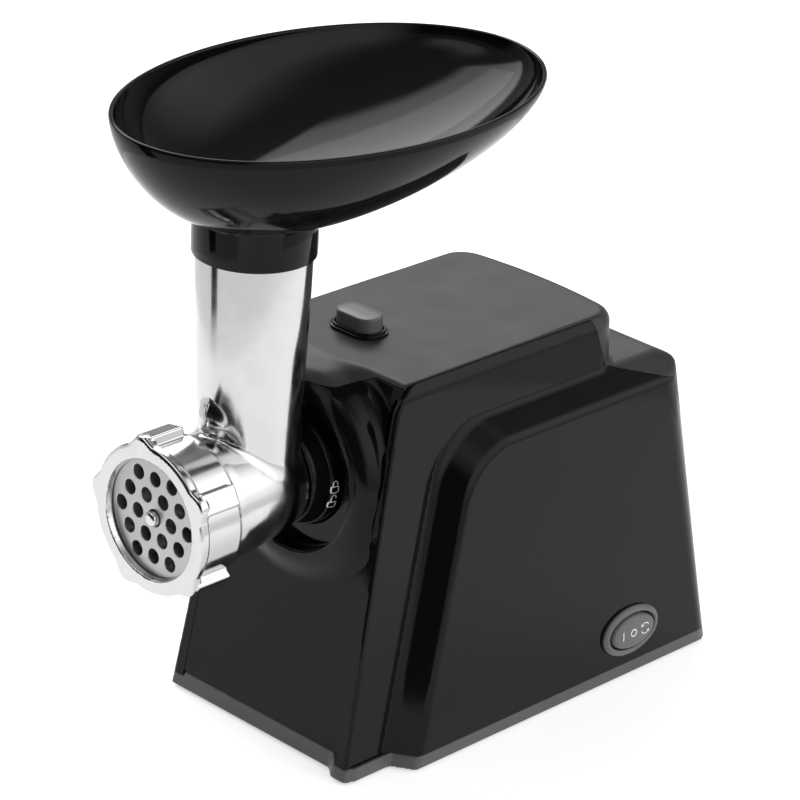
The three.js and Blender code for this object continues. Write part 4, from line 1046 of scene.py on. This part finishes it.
def ribbon(name, path, width, place, closed=False):
    """A thin raised mark along a flat path; place turns its (u, v, height) into points."""
    p = np.array(path, float)
    ahead = np.roll(p, -1, 0) - np.roll(p, 1, 0) if closed else np.gradient(p, axis=0)
    side = np.stack([-ahead[:, 1], ahead[:, 0]], 1)
    side /= np.linalg.norm(side, axis=1, keepdims=True)
    left, right = p + side * width / 2, p - side * width / 2
    section = [(left, 0.0), (left, 1.0), (right, 1.0), (right, 0.0)]
    rings = np.stack([place(edge, height) for edge, height in section], 1)
    return loft(name, rings, loop=closed)


def on_rocker(flat, height):
    out = crown(flat[:, 0]) - 0.12 + height * 0.2
    return on_panel(np.column_stack([flat, out]))


def arc(cu, cv, r, start, end, count=28):
    turns = np.radians(np.linspace(start, end, count))
    return [(cu + r * math.cos(t), cv + r * math.sin(t)) for t in turns]


def make_switch_marks():
    """On, off and reverse: a bar, a ring, and two curved arrows."""
    marks = [ribbon("mark_on", [(-9.2, -2.4), (-9.2, 0), (-9.2, 2.4)], 0.5, on_rocker)]
    ring = arc(-1.4, 0, 1.9, 0, 360, 41)[:-1]
    marks.append(ribbon("mark_off", ring, 0.5, on_rocker, closed=True))
    middle, r, sweep = 7.4, 3.0, 125
    for k, start in enumerate((25, 205), 1):
        curve = arc(middle, 0, r, start, start + sweep)
        marks.append(ribbon(f"mark_reverse_{k}", curve, 0.45, on_rocker))
        tip = math.radians(start + sweep)
        at = np.array([middle + r * math.cos(tip), r * math.sin(tip)])
        ahead = np.array([-math.sin(tip), math.cos(tip)])
        outward = np.array([math.cos(tip), math.sin(tip)])
        barb = at - ahead * 0.9
        head = [barb + outward * 0.9, at + ahead * 0.3, barb - outward * 0.9]
        marks.append(ribbon(f"mark_arrow_{k}", head, 0.4, on_rocker))
    for mark in marks:
        put(mark, "rocker", PRINT, "control_grey")


def on_collar(flat, height):
    """Wraps (distance back, distance round) onto the collar's flank, on its right side."""
    b = flat[:, 0]
    r = np.interp(b, [84, 89.2, 90.1, 95.6], [26.8, 28.2, 29.3, COLLAR_R]) - 0.1 + height * 0.2
    turn = -flat[:, 1] / 28.0
    return np.stack([r * np.cos(turn), back(b), AXIS_Z + r * np.sin(turn)], 1)


def padlock(name, b, s, open_by):
    """A small generic padlock: a square body and a shackle, which stands off when open."""
    body = [(b - 2, s - 1.6), (b + 2, s - 1.6), (b + 2, s + 1.6), (b - 2, s + 1.6)]
    fine = []
    for (a0, a1), (c0, c1) in zip(body, body[1:] + body[:1]):
        fine += [(a0 + (c0 - a0) * t, a1 + (c1 - a1) * t) for t in (0.1, 0.35, 0.65, 0.9)]
    shackle = [(b - 1.3, s - 1.6), (b - 1.3, s - 2.4)]
    shackle += [(b + 1.3 * math.cos(t), s - 2.9 - open_by - 1.5 * math.sin(t))
                for t in np.linspace(math.pi, 0, 9)]
    shackle += [(b + 1.3, s - 2.4 - open_by)]
    for part, path, closed in (("body", fine, True), ("shackle", shackle, False)):
        obj = ribbon(f"{name}_{part}", path, 0.45, on_collar, closed)
        put(obj, "housing", PRINT, "gloss_black")


# ---------- stage ----------

FLOOR_R = 550.0


def make_floor():
    """A round white sweep under the machine, in white surroundings of the same brightness."""
    rim = [(FLOOR_R * math.cos(t), FLOOR_R * math.sin(t), 0) for t in full_turn(128)]
    floor = make_object("floor", rim, [range(len(rim))])
    material, shader, _ = new_material("pale_floor", (0.80, 0.80, 0.80), 0.8, specular=0.05)
    shader.inputs["Emission Color"].default_value = (1, 1, 1, 1)
    shader.inputs["Emission Strength"].default_value = 0.55
    floor.data.materials.append(material)


def make_flag():
    """A black flag in front on the left, for the dark streak in the metal and the front panel."""
    (x0, y0), (x1, y1), top = (-341, -477), (-232, -555), 500
    card = [(x0, y0, 0), (x1, y1, 0), (x1, y1, top), (x0, y0, top)]
    flag = make_object("flag", card, [range(4)])
    material, _, _ = new_material("black_flag", (0.002, 0.002, 0.002), 0.9, specular=0.0)
    flag.data.materials.append(material)
    flag.visible_camera = flag.visible_shadow = flag.visible_diffuse = False


def area_light(name, power, size, place, target):
    light = bpy.data.lights.new(name, "AREA")
    light.shape = "RECTANGLE"
    light.size, light.size_y = size
    light.energy = power
    obj = link(name, light)
    obj.location = place
    obj.rotation_mode = "QUATERNION"
    obj.rotation_quaternion = (Vector(target) - Vector(place)).to_track_quat("-Z", "Y")


def make_world():
    """White all round, with the dark of the room in front, where the camera stands."""
    world = bpy.data.worlds.new("studio")
    bpy.context.scene.world = world
    world.use_nodes = True
    tree = world.node_tree

    def math_node(operation, *values):
        node = tree.nodes.new("ShaderNodeMath")
        node.operation = operation
        for socket, value in zip(node.inputs, values):
            if isinstance(value, (int, float)):
                socket.default_value = value
            else:
                tree.links.new(value, socket)
        return node.outputs[0]

    def edge(value, low, high):
        node = tree.nodes.new("ShaderNodeMapRange")
        node.interpolation_type = "SMOOTHSTEP"
        node.inputs["From Min"].default_value = low
        node.inputs["From Max"].default_value = high
        tree.links.new(value, node.inputs["Value"])
        return node.outputs["Result"]

    def window(value, low, high, soft):
        rise, fall = edge(value, low - soft, low + soft), edge(value, high - soft, high + soft)
        return math_node("SUBTRACT", rise, fall)

    place = tree.nodes.new("ShaderNodeTexCoord")
    parts = tree.nodes.new("ShaderNodeSeparateXYZ")
    tree.links.new(place.outputs["Generated"], parts.inputs["Vector"])
    x, y, z = parts.outputs
    turn = math_node("ARCTAN2", x, math_node("MULTIPLY", y, -1))

    def box(level, turns, heights, soft_turn, soft_height):
        """A bright patch between two turns (radians from the front) and two heights."""
        across, upright = window(turn, *turns, soft_turn), window(z, *heights, soft_height)
        return math_node("MULTIPLY", math_node("MULTIPLY", across, upright), level)

    room = box(0.98, (-0.9, 0.85), (-0.22, 0.6), 0.15, 0.05)
    ceiling = math_node("MULTIPLY", edge(z, -0.02, 0.12), -0.62)
    walls = math_node("MULTIPLY", math_node("ADD", ceiling, 0.95), math_node("SUBTRACT", 1.0, room))
    left = box(3.0, (-2.55, -1.40), (0.40, 0.89), 0.04, 0.03)
    right = box(1.6, (1.00, 2.75), (0.05, 0.80), 0.30, 0.18)
    above = box(1.6, (-0.90, 0.45), (0.78, 0.92), 0.30, 0.05)
    bright = math_node("ADD", math_node("ADD", walls, left), math_node("ADD", right, above))
    camera = tree.nodes.new("ShaderNodeLightPath").outputs["Is Camera Ray"]
    strength = math_node("MAXIMUM", bright, math_node("MULTIPLY", camera, 1.6))
    shader = tree.nodes["Background"]
    shader.inputs["Color"].default_value = (1, 1, 1, 1)
    tree.links.new(strength, shader.inputs["Strength"])


def make_camera():
    """Where the picture is taken from: 44 degrees round to the right, 24 degrees up."""
    data = bpy.data.cameras.new("camera")
    data.lens, data.sensor_width = 171.5, 36.0  # millimetres
    data.clip_start, data.clip_end = 0.1, 20.0
    camera = link("camera", data)
    a, e, roll = math.radians(43.77), math.radians(24.2), math.radians(2.94)
    behind = Vector((math.sin(a) * math.cos(e), -math.cos(a) * math.cos(e), math.sin(e)))
    right = Vector((math.cos(a), math.sin(a), 0))
    up = behind.cross(right)
    across = right * math.cos(roll) + up * math.sin(roll)
    above = up * math.cos(roll) - right * math.sin(roll)
    turn = Matrix((across, above, behind)).transposed().to_4x4()
    camera.matrix_world = Matrix.Translation((1.2069, -1.2534, 0.9423)) @ turn
    bpy.context.scene.camera = camera


bpy.context.scene.view_settings.view_transform = "Standard"
make_camera()
finish_cad_nodes()
make_cheek(1)
make_cheek(-1)
make_cover()
make_front()
make_base()
make_collar()
padlock("mark_locked", 91.5, 2.0, 0.0)
padlock("mark_open", 91.5, 10.5, 1.2)
make_feet()
make_inlet()
make_head()
make_nut()
make_plate()
make_auger()
make_tray()
make_button()
make_rocker()
make_switch_surround()
make_switch_marks()
make_floor()
make_flag()
make_world()
area_light("key_light", 2, (0.9, 0.5), (-1.0, 0.45, 1.3), (0, 0, 0.15))
